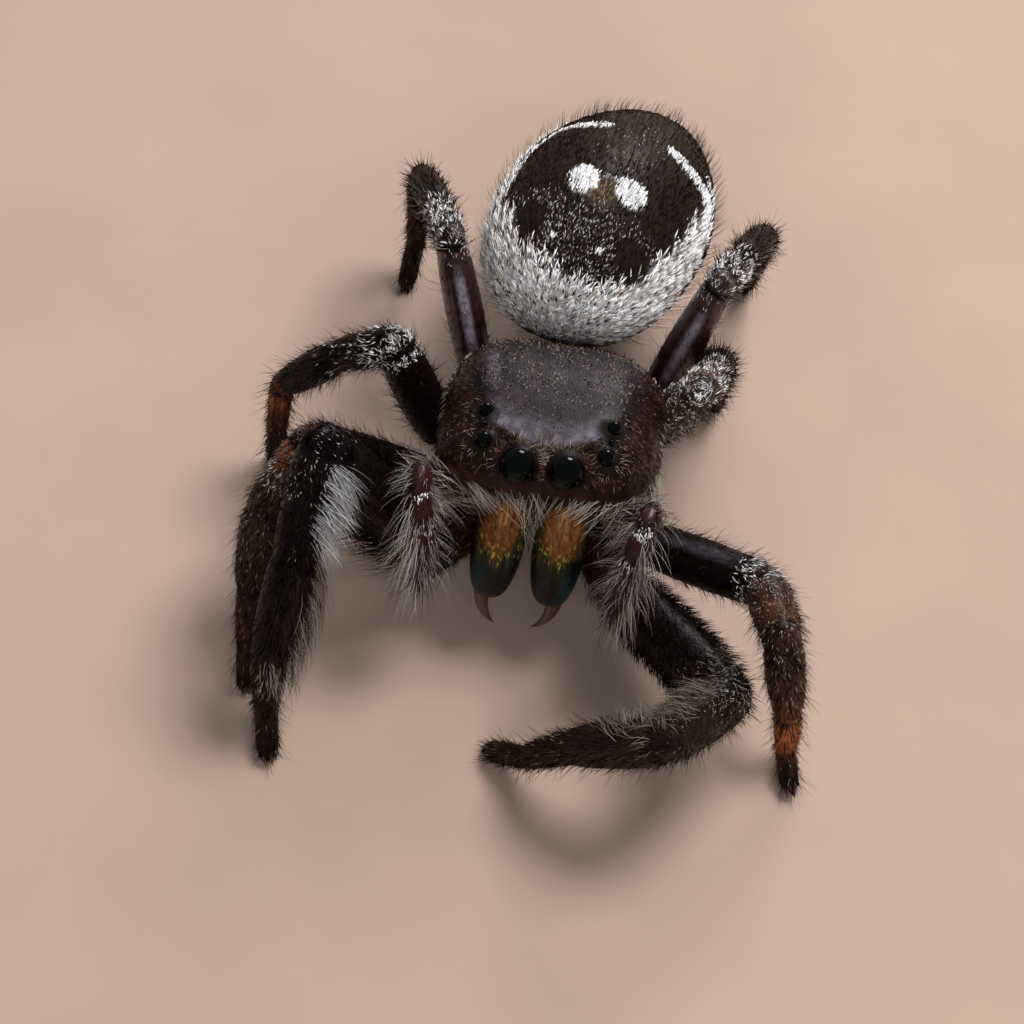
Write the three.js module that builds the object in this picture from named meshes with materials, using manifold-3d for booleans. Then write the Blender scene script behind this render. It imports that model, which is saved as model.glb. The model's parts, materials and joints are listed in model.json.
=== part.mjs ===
import * as THREE from "three";
import { mergeVertices } from "three/addons/utils/BufferGeometryUtils.js";
import Module from "manifold-3d";

// A jumping spider standing still with its head raised, as solids out to the tips of its short coat.
// Millimetres, +Z up, head towards -Y, the spider's own left towards +X, feet on Z = 0.
const wasm = await Module();
wasm.setup();

// ---------------------------------------------------------------- the whole animal
const GAP = 0.04; // clearance between neighbouring parts
const CENTRE = { x: -0.01, y: 0.63 }; // middle of the stance, taken as the origin
const HEAD_UP = 12; // degrees that the front body is pitched up
const TILT_POINT = { y: 0.5, z: 1.5 }; // the point that the front body is pitched about
const LIFT = 1.0; // how far the front body is held above its resting height

// ---------------------------------------------------------------- front body, before it is pitched
const CARAPACE = {
  halfWidth: 2.25,
  front: -2.45,
  back: 2.6,
  rim: 1.28,
  crown: 1.98,
  brow: 1.72,
  belly: 0.1,
  lipRise: 0.42, // how much higher the rim is under the eyes than at the sides
  crownAt: -0.2, // where along the body it is highest
  browRun: 2.0, // how far in front of that the brow is reached
  backSlope: 0.55, // how much lower the back end is, as a part of the crown
  frontEnd: { plan: 4.5, side: 6 }, // powers of the outlines from above and from the side
  backEnd: { plan: 2.4, side: 2.6 },
  frontSection: 2.9, // power of the cross-section
  backSection: 2.4,
  detail: { around: 20, along: 14 },
};
const STERNUM = { halfWidth: 0.92, halfLength: 1.2, halfHeight: 0.4, y: 0.12, z: 0.74 };
const LIP = { halfWidth: 0.27, halfLength: 0.4, halfHeight: 0.28, y: -1.5, z: 0.74 };
const MAXILLA = { halfWidth: 0.34, halfLength: 0.55, halfHeight: 0.34, x: 0.48, y: -1.58, z: 0.8 };
const CHELICERA = {
  halfWidth: 0.54,
  halfDepth: 0.48,
  length: 2.3,
  x: 0.57,
  y: -2.12,
  z: 1.72,
  forward: 20, // degrees that the jaw leans forward
  splay: 1, // and that it leans outwards
  swing: 4, // and that both jaws swing towards the right of the spider
  end: 3, // power of the outline at its ends
  section: 2.2,
  slimmer: 0.16, // of its width at the lower end
  detail: { around: 10, along: 8 },
};
const FANG = { length: 1.05, radius: 0.17, curl: 62, x: 0.12, y: 0.05, sunk: 0.2, inward: 50 };
const EYES = [
  { name: "front_middle", radius: 0.365, x: 0.47, y: -2.38, z: 2.53 },
  { name: "front_side", radius: 0.18, x: 1.19, y: -2.04, z: 2.76 },
  { name: "rear_small", radius: 0.075, x: 1.24, y: -1.72, z: 2.88 },
  { name: "rear_side", radius: 0.155, x: 1.25, y: -1.38, z: 2.97 },
];

// ---------------------------------------------------------------- rear body, where it is held
const ABDOMEN = {
  halfWidth: 2.25,
  halfLength: 3.4,
  halfHeight: 1.85,
  x: 0.34,
  y: 5.55,
  z: 3.05,
  turn: 15, // towards the left of the spider
  tailDown: 8,
  taper: 0.28, // of its width and height towards the tail
  frontEnd: 2.5, // powers of the outlines
  tailEnd: 2.15,
  section: 2.1,
  detail: { around: 22, along: 14 },
};
const WAIST = { radius: 0.36, y: 2.66, z: 2.35, length: 1.1 };
const SPINNERET = { radius: 0.17, length: 0.62, spread: 0.2, sides: 7 };

// ---------------------------------------------------------------- legs
// Lengths and radii of the segments: coxa, femur, patella, tibia, metatarsus, tarsus.
// A hip is where the coxa leaves the breastplate. Each pose lists one [turn, climb] pair in degrees for
// each segment: turn 0 points forward and 90 straight out, climb is above the horizontal. The last climb
// isn't listed, because the tarsus reaches down to the floor.
const LEG_PAIRS = [
  {
    name: "leg1",
    hip: { x: 0.75, y: -1.35 },
    lengths: [1.7, 3.8, 2.1, 2.2, 1.4, 0.9],
    radii: [0.42, 0.72, 0.49, 0.52, 0.31, 0.27],
    right: [[48, -18], [79, 55], [8, -34], [14, -56], [2, -86], [-13]],
    left: [[40, -26], [40, 13], [-30, 19], [-102, -33], [-112, -50], [-122]],
  },
  {
    name: "leg2",
    hip: { x: 0.95, y: -0.6 },
    lengths: [1.3, 3.2, 1.7, 1.6, 1.1, 0.7],
    radii: [0.4, 0.52, 0.44, 0.42, 0.27, 0.25],
    right: [[76, -7], [65, 38], [45, -48], [2, -48], [-5, -48], [-10]],
    left: [[58, -30], [62, 17], [15, 18], [27, -63], [30, -82], [14]],
  },
  {
    name: "leg3",
    hip: { x: 0.95, y: 0.3 },
    lengths: [1.4, 2.9, 1.4, 1.6, 1.5, 0.85],
    radii: [0.4, 0.47, 0.4, 0.38, 0.26, 0.25],
    right: [[98, -3], [75, 71], [100, -36], [89, -45], [85, -86], [88]],
    left: [[145, -15], [50, 62], [168, -30], [176, -40], [180, -84], [180]],
  },
  {
    name: "leg4",
    hip: { x: 0.75, y: 1.1 },
    lengths: [1.45, 3.2, 1.5, 2.1, 1.85, 0.9],
    radii: [0.38, 0.37, 0.37, 0.4, 0.27, 0.25],
    right: [[137, -7], [143, 63], [162, -24], [161, -27], [10, -85], [10]],
    left: [[134, -3], [131, 64], [166, -27], [165, -29], [194, -70], [200]],
  },
];
const HIP_HEIGHT = 0.8; // of every hip, before the front body is pitched
const SOLE_HEIGHT = 0.21; // of the end of a tarsus above the floor
const SWELL = [0.02, 0.07, 0.03, 0.05]; // how much fatter each of the first four is halfway along

// ---------------------------------------------------------------- palps
const PALP = {
  base: { x: 0.95, y: -1.95, z: 1.0 },
  lengths: [1.9, 0.65, 0.6, 1.15],
  radii: [0.26, 0.28, 0.28, 0.3],
  right: [[78, 44], [0, 5], [-28, -50], [-6, -58]],
  left: [[68, 44], [-6, 10], [-24, -52], [-22, -59]],
};

// ---------------------------------------------------------------- solids
const SIDES = { left: 1, right: -1 };
const LIMB_SIDES = 8; // faces around every leg and palp
const EYE_FACES = { large: 12, small: 8 }; // around an eye
const LARGE_EYE = 0.3; // radius from which an eye gets the finer ball
const FAR = 8; // edge of the blocks that cut a solid along a plane
const LIMB_TENSION = 0.35; // of the curve through the joints of a bent limb
const LIMB_TIP = { radius: 0.8, height: 0.6 }; // of the ring that rounds a bent limb's end

function solidOf(geometry) {
  const bare = geometry.clone();
  bare.deleteAttribute("normal");
  bare.deleteAttribute("uv");
  const merged = mergeVertices(bare, 1e-4);
  return new wasm.Manifold(
    new wasm.Mesh({
      numProp: 3,
      vertProperties: Float32Array.from(merged.attributes.position.array),
      triVerts: Uint32Array.from(merged.index.array),
    }),
  );
}

function geometryOf(solid) {
  const mesh = solid.getMesh();
  const geometry = new THREE.BufferGeometry();
  geometry.setAttribute("position", new THREE.BufferAttribute(Float32Array.from(mesh.vertProperties), 3));
  geometry.setIndex(new THREE.BufferAttribute(Uint32Array.from(mesh.triVerts), 1));
  return geometry;
}

const radians = THREE.MathUtils.degToRad;
const signedPower = (value, power) => Math.sign(value) * Math.abs(value) ** power;

// A rounded body along Y from a sphere. plan squares off its outline from above, section its cross-section,
// and profile(s) gives, for s from -1 at the front to 1 at the back, factors of its width, top and bottom
// and how far its widest line is lifted.
function roundedBody(size, detail, profile) {
  const sphere = new THREE.SphereGeometry(1, detail.around, detail.along);
  const points = sphere.attributes.position;
  for (let i = 0; i < points.count; i += 1) {
    const s = points.getY(i);
    const radius = Math.hypot(points.getX(i), points.getZ(i)) || 1;
    const across = points.getX(i) / radius;
    const upward = points.getZ(i) / radius;
    const { plan, side, section, width, top, bottom, lift } = profile(s);
    const outline = Math.max(0, 1 - Math.abs(s) ** plan) ** (1 / plan);
    const height = Math.max(0, 1 - Math.abs(s) ** side) ** (1 / side);
    const rise = upward > 0 ? top : bottom;
    points.setXYZ(
      i,
      size.x * width * outline * signedPower(across, 2 / section),
      size.y * s,
      lift + size.z * rise * height * signedPower(upward, 2 / section),
    );
  }
  return sphere;
}

const ROUND = { plan: 2, side: 2, section: 2, width: 1, top: 1, bottom: 1, lift: 0 };
const ellipsoid = (x, y, z, detail) => roundedBody({ x, y, z }, detail, () => ROUND);

// The frame of the front body: pitched head up about one point, then lifted.
const frontBody = new THREE.Matrix4()
  .makeTranslation(0, TILT_POINT.y, TILT_POINT.z + LIFT)
  .multiply(new THREE.Matrix4().makeRotationX(radians(-HEAD_UP)))
  .multiply(new THREE.Matrix4().makeTranslation(0, -TILT_POINT.y, -TILT_POINT.z));
const inFront = (x, y, z) => new THREE.Vector3(x, y, z).applyMatrix4(frontBody);

// The way a segment points, from its turn and climb, and the level direction square to it.
function heading(side, turn, climb) {
  const level = Math.cos(radians(climb));
  return new THREE.Vector3(
    side * Math.sin(radians(turn)) * level,
    -Math.cos(radians(turn)) * level,
    Math.sin(radians(climb)),
  );
}

const levelAcross = (side, turn) =>
  new THREE.Vector3(side * Math.cos(radians(turn)), Math.sin(radians(turn)), 0);

// A limb segment: a lathe with round ends about both joints, swollen halfway.
function segmentSolid({ from, way, across, length, start, end, swell, grow = 0 }) {
  const outline = [];
  const capSteps = 2;
  const bodySteps = 2;
  for (let i = 0; i <= capSteps; i += 1) {
    const angle = (i / capSteps) * (Math.PI / 2);
    outline.push(new THREE.Vector2((start + grow) * Math.sin(angle), -(start + grow) * Math.cos(angle)));
  }
  for (let i = 1; i <= bodySteps; i += 1) {
    const t = i / bodySteps;
    const radius = THREE.MathUtils.lerp(start, end, t) + swell * 4 * t * (1 - t) + grow;
    outline.push(new THREE.Vector2(radius, length * t));
  }
  for (let i = 1; i <= capSteps; i += 1) {
    const angle = (i / capSteps) * (Math.PI / 2);
    outline.push(new THREE.Vector2((end + grow) * Math.cos(angle), length + (end + grow) * Math.sin(angle)));
  }
  outline[0].x = 0;
  outline[outline.length - 1].x = 0;
  const lathe = new THREE.LatheGeometry(outline, LIMB_SIDES);
  const frame = new THREE.Matrix4().makeBasis(across, way, new THREE.Vector3().crossVectors(across, way));
  lathe.applyMatrix4(frame.setPosition(from));
  const solid = solidOf(lathe);
  return solid.volume() > 0 ? solid : solidOf(turnedInsideOut(lathe));
}

// A limb of several segments in one piece: a lathe whose axis is then laid along a curve through the joints.
function bentLimb(joints, across, radii) {
  const curve = new THREE.CatmullRomCurve3(joints, false, "catmullrom", LIMB_TENSION);
  const length = curve.getLength();
  const first = radii[0];
  const last = radii[radii.length - 1];
  const outline = [
    new THREE.Vector2(0, -first),
    new THREE.Vector2(first * LIMB_TIP.radius, -first * LIMB_TIP.height),
  ];
  const stations = 2 * (joints.length - 1);
  for (let i = 0; i <= stations; i += 1) {
    const place = (i / stations) * (radii.length - 1);
    const near = Math.min(Math.floor(place), radii.length - 2);
    const radius = THREE.MathUtils.lerp(radii[near], radii[near + 1], place - near);
    outline.push(new THREE.Vector2(radius, (length * i) / stations));
  }
  outline.push(new THREE.Vector2(last * LIMB_TIP.radius, length + last * LIMB_TIP.height));
  outline.push(new THREE.Vector2(0, length + last));
  const lathe = new THREE.LatheGeometry(outline, LIMB_SIDES);
  const points = lathe.attributes.position;
  for (let i = 0; i < points.count; i += 1) {
    const along = THREE.MathUtils.clamp(points.getY(i) / length, 0, 1);
    const way = curve.getTangentAt(along);
    const sideways = across.clone().addScaledVector(way, -across.dot(way)).normalize();
    const place = curve
      .getPointAt(along)
      .addScaledVector(sideways, points.getX(i))
      .addScaledVector(way, points.getY(i) - along * length)
      .addScaledVector(new THREE.Vector3().crossVectors(sideways, way), points.getZ(i));
    points.setXYZ(i, place.x, place.y, place.z);
  }
  const solid = solidOf(lathe);
  return solid.volume() > 0 ? solid : solidOf(turnedInsideOut(lathe));
}

function turnedInsideOut(geometry) {
  const index = geometry.index.array;
  for (let i = 0; i < index.length; i += 3) {
    [index[i + 1], index[i + 2]] = [index[i + 2], index[i + 1]];
  }
  return geometry;
}

// A block that covers everything beyond the plane through a point, on the side that normal points to.
function beyond(point, normal, gap) {
  const block = new THREE.BoxGeometry(FAR, FAR, FAR);
  const turn = new THREE.Quaternion().setFromUnitVectors(new THREE.Vector3(0, 0, 1), normal);
  const middle = point.clone().addScaledVector(normal, FAR / 2 - gap);
  block.applyMatrix4(new THREE.Matrix4().compose(middle, turn, new THREE.Vector3(1, 1, 1)));
  return solidOf(block);
}

// ---------------------------------------------------------------- parts of the front body
function carapaceSolid(grow = 0) {
  const halfLength = (CARAPACE.back - CARAPACE.front) / 2;
  const size = { x: CARAPACE.halfWidth + grow, y: halfLength + grow, z: 1 };
  const profile = (s) => {
    const y = (CARAPACE.back + CARAPACE.front) / 2 + halfLength * s;
    const rear = Math.max(0, (y - CARAPACE.crownAt) / (CARAPACE.back - CARAPACE.crownAt));
    const front = THREE.MathUtils.clamp((CARAPACE.crownAt - y) / CARAPACE.browRun, 0, 1);
    const lift = CARAPACE.lipRise * Math.max(0, -s) ** 3;
    const height = THREE.MathUtils.lerp(CARAPACE.crown, CARAPACE.brow, front);
    return {
      ...(s < 0 ? CARAPACE.frontEnd : CARAPACE.backEnd),
      section: THREE.MathUtils.lerp(CARAPACE.frontSection, CARAPACE.backSection, Math.max(0, s)),
      width: 1,
      top: height * (1 - CARAPACE.backSlope * rear ** 2) - lift + grow,
      bottom: CARAPACE.belly + grow,
      lift,
    };
  };
  const body = roundedBody(size, CARAPACE.detail, profile);
  body.translate(0, (CARAPACE.back + CARAPACE.front) / 2, CARAPACE.rim);
  return solidOf(body.applyMatrix4(frontBody));
}

function sternumSolid(grow = 0) {
  const { halfWidth, halfLength, halfHeight, y, z } = STERNUM;
  const plate = ellipsoid(halfWidth + grow, halfLength + grow, halfHeight + grow, { around: 10, along: 6 });
  return solidOf(plate.translate(0, y, z).applyMatrix4(frontBody));
}

function mouthpartsSolid(grow = 0) {
  const detail = { around: 8, along: 5 };
  const lobe = (part, x) =>
    solidOf(
      ellipsoid(part.halfWidth + grow, part.halfLength + grow, part.halfHeight + grow, detail)
        .translate(x, part.y, part.z)
        .applyMatrix4(frontBody),
    );
  return lobe(LIP, 0).add(lobe(MAXILLA, MAXILLA.x)).add(lobe(MAXILLA, -MAXILLA.x));
}

const eyeCentre = (eye, side) => inFront(side * eye.x, eye.y, eye.z);

function eyeSolid(eye, side, grow = 0) {
  const around = eye.radius > LARGE_EYE ? EYE_FACES.large : EYE_FACES.small;
  const ball = new THREE.SphereGeometry(eye.radius + grow, around, around / 2);
  const centre = eyeCentre(eye, side);
  return solidOf(ball.translate(centre.x, centre.y, centre.z));
}

// The frame of a jaw: its own -Z runs down the jaw, leaning forward from the front body.
const jawFrame = (side) =>
  frontBody
    .clone()
    .multiply(new THREE.Matrix4().makeTranslation(side * CHELICERA.x, CHELICERA.y, CHELICERA.z))
    .multiply(new THREE.Matrix4().makeRotationX(radians(-CHELICERA.forward)))
    .multiply(new THREE.Matrix4().makeRotationY(radians(CHELICERA.swing - side * CHELICERA.splay)));

function cheliceraSolid(side, grow = 0) {
  const { halfWidth, halfDepth, length, end, section, slimmer, detail } = CHELICERA;
  const size = { x: halfWidth + grow, y: length / 2 + grow, z: halfDepth + grow };
  const jaw = roundedBody(size, detail, (s) => {
    const width = 1 - slimmer * Math.max(0, s);
    return { plan: end, side: end, section, width, top: 1, bottom: width, lift: 0 };
  });
  jaw.rotateX(Math.PI / -2);
  return solidOf(jaw.translate(0, 0, -length / 2).applyMatrix4(jawFrame(side)));
}

// A fang is a cone bent into an arc. It hangs from the end of its jaw and curls inwards and back.
function fangSolid(side) {
  const { length, radius, curl, inward } = FANG;
  const steps = 5;
  const outline = [new THREE.Vector2(0, 0)];
  for (let i = 0; i < steps; i += 1) {
    outline.push(new THREE.Vector2(radius * (1 - (i / steps) ** 1.4), (length * i) / steps));
  }
  outline.push(new THREE.Vector2(0, length));
  const cone = new THREE.LatheGeometry(outline, 8);
  const points = cone.attributes.position;
  const arc = length / radians(curl);
  for (let i = 0; i < points.count; i += 1) {
    const angle = points.getY(i) / arc;
    const reach = arc + points.getZ(i);
    points.setXYZ(i, points.getX(i), reach * Math.sin(angle), arc - reach * Math.cos(angle));
  }
  const down = new THREE.Vector3(0, 0, -1);
  const bend = new THREE.Vector3(-side * Math.sin(radians(inward)), Math.cos(radians(inward)), 0);
  const frame = new THREE.Matrix4().makeBasis(new THREE.Vector3().crossVectors(down, bend), down, bend);
  frame.setPosition(side * FANG.x, FANG.y, FANG.sunk - CHELICERA.length);
  cone.applyMatrix4(jawFrame(side).multiply(frame));
  const solid = solidOf(cone);
  return solid.volume() > 0 ? solid : solidOf(turnedInsideOut(cone));
}

// ---------------------------------------------------------------- parts of the rear body
const rearBody = new THREE.Matrix4()
  .makeTranslation(ABDOMEN.x, ABDOMEN.y, ABDOMEN.z)
  .multiply(new THREE.Matrix4().makeRotationZ(radians(-ABDOMEN.turn)))
  .multiply(new THREE.Matrix4().makeRotationX(radians(-ABDOMEN.tailDown)));

function abdomenSolid(grow = 0) {
  const { halfWidth, halfLength, halfHeight, taper, frontEnd, tailEnd, section, detail } = ABDOMEN;
  const size = { x: halfWidth + grow, y: halfLength + grow, z: halfHeight + grow };
  const egg = roundedBody(size, detail, (s) => {
    const slim = 1 - taper * Math.max(0, s) ** 1.5;
    const end = s < 0 ? frontEnd : tailEnd;
    return { plan: end, side: end, section, width: slim, top: slim, bottom: slim, lift: 0 };
  });
  return solidOf(egg.applyMatrix4(rearBody));
}

function waistSolid() {
  const stalk = new THREE.CylinderGeometry(WAIST.radius, WAIST.radius, WAIST.length, 12);
  return solidOf(stalk.translate(0, WAIST.y + WAIST.length / 2, WAIST.z));
}

// Two pairs of short spigots under the tail, the lower pair pointing more downwards.
function spinneretsSolid() {
  const { radius, length, spread, sides } = SPINNERET;
  const pairs = [
    { spread: 0.8 * spread, sunk: 0.08, z: -0.2, droop: 4 },
    { spread: spread, sunk: 0.18, z: -0.5, droop: 18 },
  ];
  const spigots = pairs.flatMap((pair) =>
    Object.values(SIDES).map((side) => {
      const spigot = new THREE.CylinderGeometry(0.55 * radius, radius, length, sides);
      spigot.rotateX(radians(-pair.droop));
      spigot.translate(side * pair.spread, ABDOMEN.halfLength - pair.sunk, pair.z);
      return solidOf(spigot.applyMatrix4(rearBody));
    }),
  );
  return spigots.reduce((cluster, spigot) => cluster.add(spigot));
}

// ---------------------------------------------------------------- legs and palps
// Every joint of a leg, from the hip to the end of the tarsus, with the way of each segment.
function legJoints(pair, sideName) {
  const side = SIDES[sideName];
  const joints = [inFront(side * pair.hip.x, pair.hip.y, HIP_HEIGHT)];
  const ways = [];
  pair[sideName].forEach(([turn, climb], i) => {
    const from = joints[i];
    const drop = (SOLE_HEIGHT - from.z) / pair.lengths[i];
    const angle = climb ?? THREE.MathUtils.radToDeg(Math.asin(THREE.MathUtils.clamp(drop, -1, 1)));
    ways.push({ way: heading(side, turn, angle), across: levelAcross(side, turn) });
    joints.push(from.clone().addScaledVector(ways[i].way, pair.lengths[i]));
  });
  return { joints, ways };
}

function legSegment(pair, leg, i, grow = 0) {
  return segmentSolid({
    from: leg.joints[i],
    way: leg.ways[i].way,
    across: leg.ways[i].across,
    length: pair.lengths[i],
    start: i === 0 ? pair.radii[0] : (pair.radii[i] + pair.radii[i - 1]) / 2,
    end: (pair.radii[i] + pair.radii[i + 1]) / 2,
    swell: SWELL[i],
    grow,
  });
}

// The plane that halves the bend at the joint where segment i begins.
const bendNormal = (leg, i) => leg.ways[i - 1].way.clone().add(leg.ways[i].way).normalize();

function legNode(pair, leg, i) {
  let solid = legSegment(pair, leg, i);
  if (i > 0) {
    solid = solid.subtract(beyond(leg.joints[i], bendNormal(leg, i).negate(), GAP / 2));
  }
  return solid.subtract(beyond(leg.joints[i + 1], bendNormal(leg, i + 1), GAP / 2));
}

// The metatarsus and tarsus in one piece, with the flat that stands on the floor.
function footNode(pair, leg) {
  const ankle = leg.joints[4].clone().addScaledVector(leg.ways[4].way, -pair.radii[4]);
  const radii = [pair.radii[4], pair.radii[4], pair.radii[5], pair.radii[5]];
  const foot = bentLimb([ankle, leg.joints[4], leg.joints[5], leg.joints[6]], leg.ways[4].across, radii);
  const sole = new THREE.Vector3(leg.joints[6].x, leg.joints[6].y, 0);
  return foot
    .subtract(beyond(leg.joints[4], bendNormal(leg, 4).negate(), GAP / 2))
    .subtract(beyond(sole, new THREE.Vector3(0, 0, -1), 0));
}

function palpSolid(sideName) {
  const side = SIDES[sideName];
  const joints = [inFront(side * PALP.base.x, PALP.base.y, PALP.base.z)];
  PALP[sideName].forEach(([turn, climb], i) => {
    joints.push(joints[i].clone().addScaledVector(heading(side, turn, climb), PALP.lengths[i]));
  });
  return bentLimb(joints, levelAcross(side, 0), [PALP.radii[0], ...PALP.radii]);
}

// ---------------------------------------------------------------- materials
const finish = (color, roughness) => new THREE.MeshStandardMaterial({ color, roughness, metalness: 0 });
const COLOURS = {
  shell: [0x2b2328, 0.45],
  eye: [0x060607, 0.05],
  jaw: [0x7a4a22, 0.3],
  fang: [0x1c0f0a, 0.25],
  mouth: [0x5a3c2a, 0.6],
  abdomen: [0x2a2422, 0.75],
  spinneret: [0x3a2c24, 0.7],
  palp: [0x5b2a27, 0.6],
  coxa: [0x3a241c, 0.6],
  femur: [0x21171a, 0.5],
  patella: [0x3b2e2e, 0.7],
  tibia: [0x241a1b, 0.65],
  foot: [0x6a3520, 0.6],
};

// ---------------------------------------------------------------- the whole animal put together
const spider = new THREE.Group();
spider.position.set(-CENTRE.x, -CENTRE.y, 0);

// Adds one solid as a mesh that turns about its own anchor point.
function addPart(name, solid, colour, anchor) {
  const pieces = solid.decompose().sort((a, b) => b.volume() - a.volume());
  const geometry = geometryOf(pieces[0]).translate(-anchor.x, -anchor.y, -anchor.z);
  const mesh = new THREE.Mesh(geometry, finish(...COLOURS[colour]));
  mesh.name = name;
  mesh.position.copy(anchor);
  spider.add(mesh);
}

const grownEyes = [];
for (const [sideName, side] of Object.entries(SIDES)) {
  for (const eye of EYES) {
    grownEyes.push(eyeSolid(eye, side, GAP));
    addPart(`eye_${eye.name}_${sideName}`, eyeSolid(eye, side), "eye", eyeCentre(eye, side));
  }
}
const carapace = grownEyes.reduce((shell, eye) => shell.subtract(eye), carapaceSolid());
addPart("carapace", carapace, "shell", inFront(0, 0, CARAPACE.rim));

const grownCarapace = carapaceSolid(GAP);
const grownJaws = [];
for (const [sideName, side] of Object.entries(SIDES)) {
  const anchor = new THREE.Vector3().setFromMatrixPosition(jawFrame(side));
  const jaw = cheliceraSolid(side).subtract(grownCarapace);
  addPart(`chelicera_${sideName}`, jaw, "jaw", anchor);
  grownJaws.push(cheliceraSolid(side, GAP));
  addPart(`fang_${sideName}`, fangSolid(side).subtract(cheliceraSolid(side, GAP)), "fang", anchor);
}

const shyOf = (solid, others) => others.reduce((left, other) => left.subtract(other), solid);
const mouthparts = shyOf(mouthpartsSolid(), [grownCarapace, ...grownJaws]);
addPart("mouthparts", mouthparts, "mouth", inFront(0, LIP.y, LIP.z));
const grownMouth = mouthpartsSolid(GAP);
const sternum = shyOf(sternumSolid(), [grownCarapace, grownMouth, ...grownJaws]);
addPart("sternum", sternum, "mouth", inFront(0, STERNUM.y, STERNUM.z));

const bodyNeighbours = [grownCarapace, grownMouth, sternumSolid(GAP), ...grownJaws];
const grownHips = { left: [], right: [] };
for (const sideName of Object.keys(SIDES)) {
  for (const pair of LEG_PAIRS) {
    const leg = legJoints(pair, sideName);
    const coxa = shyOf(legNode(pair, leg, 0), [...bodyNeighbours, ...grownHips[sideName]]);
    addPart(`${pair.name}_${sideName}_coxa`, coxa, "coxa", leg.joints[0]);
    const femur = shyOf(legNode(pair, leg, 1), [grownCarapace, ...grownHips[sideName]]);
    addPart(`${pair.name}_${sideName}_femur`, femur, "femur", leg.joints[1]);
    addPart(`${pair.name}_${sideName}_patella`, legNode(pair, leg, 2), "patella", leg.joints[2]);
    addPart(`${pair.name}_${sideName}_tibia`, legNode(pair, leg, 3), "tibia", leg.joints[3]);
    addPart(`${pair.name}_${sideName}_foot`, footNode(pair, leg), "foot", leg.joints[4]);
    grownHips[sideName].push(legSegment(pair, leg, 0, GAP));
    grownHips[sideName].push(legSegment(pair, leg, 1, GAP));
  }
  const base = inFront(SIDES[sideName] * PALP.base.x, PALP.base.y, PALP.base.z);
  const palp = shyOf(palpSolid(sideName), [...bodyNeighbours, ...grownHips[sideName]]);
  addPart(`palp_${sideName}`, palp, "palp", base);
}

const abdomen = abdomenSolid().add(waistSolid()).subtract(grownCarapace);
addPart("abdomen", abdomen, "abdomen", new THREE.Vector3(ABDOMEN.x, ABDOMEN.y, ABDOMEN.z));
const spinnerets = spinneretsSolid().subtract(abdomenSolid(GAP));
addPart("spinnerets", spinnerets, "spinneret", new THREE.Vector3(ABDOMEN.x, ABDOMEN.y, ABDOMEN.z));

export default spider;
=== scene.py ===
# %% [markdown]
# # A jumping spider, life size
# The solids that carry this model are plain. Here they get what the eye expects of the animal: one skin
# without seams, wet eyes, polished jaws, and a coat of scales and bristles made as mesh.
# The first cell loads the solids as a fixed frame. Everything is worked out in millimetres, in the same
# axes as the solids (head towards -Y, its own left towards +X), and becomes metres at the very end.

import math
from dataclasses import dataclass

import bmesh
import bpy
import numpy as np
from mathutils import Matrix, Vector
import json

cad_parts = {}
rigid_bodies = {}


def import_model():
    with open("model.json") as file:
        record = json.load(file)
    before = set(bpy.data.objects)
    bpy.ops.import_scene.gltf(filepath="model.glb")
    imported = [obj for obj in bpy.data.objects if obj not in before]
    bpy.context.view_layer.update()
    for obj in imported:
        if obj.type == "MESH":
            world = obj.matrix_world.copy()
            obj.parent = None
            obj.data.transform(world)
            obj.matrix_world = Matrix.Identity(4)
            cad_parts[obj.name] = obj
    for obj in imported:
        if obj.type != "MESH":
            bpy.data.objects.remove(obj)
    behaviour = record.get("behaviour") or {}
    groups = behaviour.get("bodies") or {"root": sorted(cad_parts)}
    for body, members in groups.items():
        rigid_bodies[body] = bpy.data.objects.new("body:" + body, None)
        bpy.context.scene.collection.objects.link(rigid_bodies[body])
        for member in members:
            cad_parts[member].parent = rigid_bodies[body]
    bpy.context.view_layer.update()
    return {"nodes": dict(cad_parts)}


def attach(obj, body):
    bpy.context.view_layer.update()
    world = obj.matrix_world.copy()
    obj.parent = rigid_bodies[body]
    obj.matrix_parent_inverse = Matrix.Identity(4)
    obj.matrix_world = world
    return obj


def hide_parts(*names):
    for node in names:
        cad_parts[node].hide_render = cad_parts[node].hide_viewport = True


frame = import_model()
MM = 0.001
CENTRE = np.array([-0.01, 0.63, 0.0])  # middle of the stance, which the origin lies under

# %% [markdown]
# ## Sizes of the body
# These are the driving sizes of the solids, said again so that the skin can follow the same curves a
# little deeper down. The front body is pitched head up about one point and lifted; the rear body hangs
# from the waist, turned and tail down.

# %% Sizes of the front body
HEAD_UP = 12
LIFT = 1.0
TILT_POINT = np.array([0.0, 0.5, 1.5])
CARAPACE = dict(
    half_width=2.25, front=-2.45, back=2.6, rim=1.28, crown=1.98, brow=1.72, belly=0.1, lip_rise=0.42
)
CROWN_AT = -0.2
BROW_RUN = 2.0
STERNUM = dict(half=(0.92, 1.2, 0.4), middle=(0, 0.12, 0.74))
LIP = dict(half=(0.27, 0.4, 0.28), middle=(0, -1.5, 0.74))
MAXILLA = dict(half=(0.34, 0.55, 0.34), middle=(0.48, -1.58, 0.8))
CHELICERA = dict(
    half_width=0.54, half_depth=0.48, length=2.3, top=(0.57, -2.12, 1.72), forward=20, splay=1, swing=4
)
FANG = dict(length=1.05, radius=0.17, curl=62, place=(0.12, 0.05, -2.1), inward=50)
EYES = {
    "front_middle": (0.365, (0.47, -2.38, 2.53)),
    "front_side": (0.18, (1.19, -2.04, 2.76)),
    "rear_small": (0.075, (1.24, -1.72, 2.88)),
    "rear_side": (0.155, (1.25, -1.38, 2.97)),
}
SIDES = {"left": 1, "right": -1}
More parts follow.
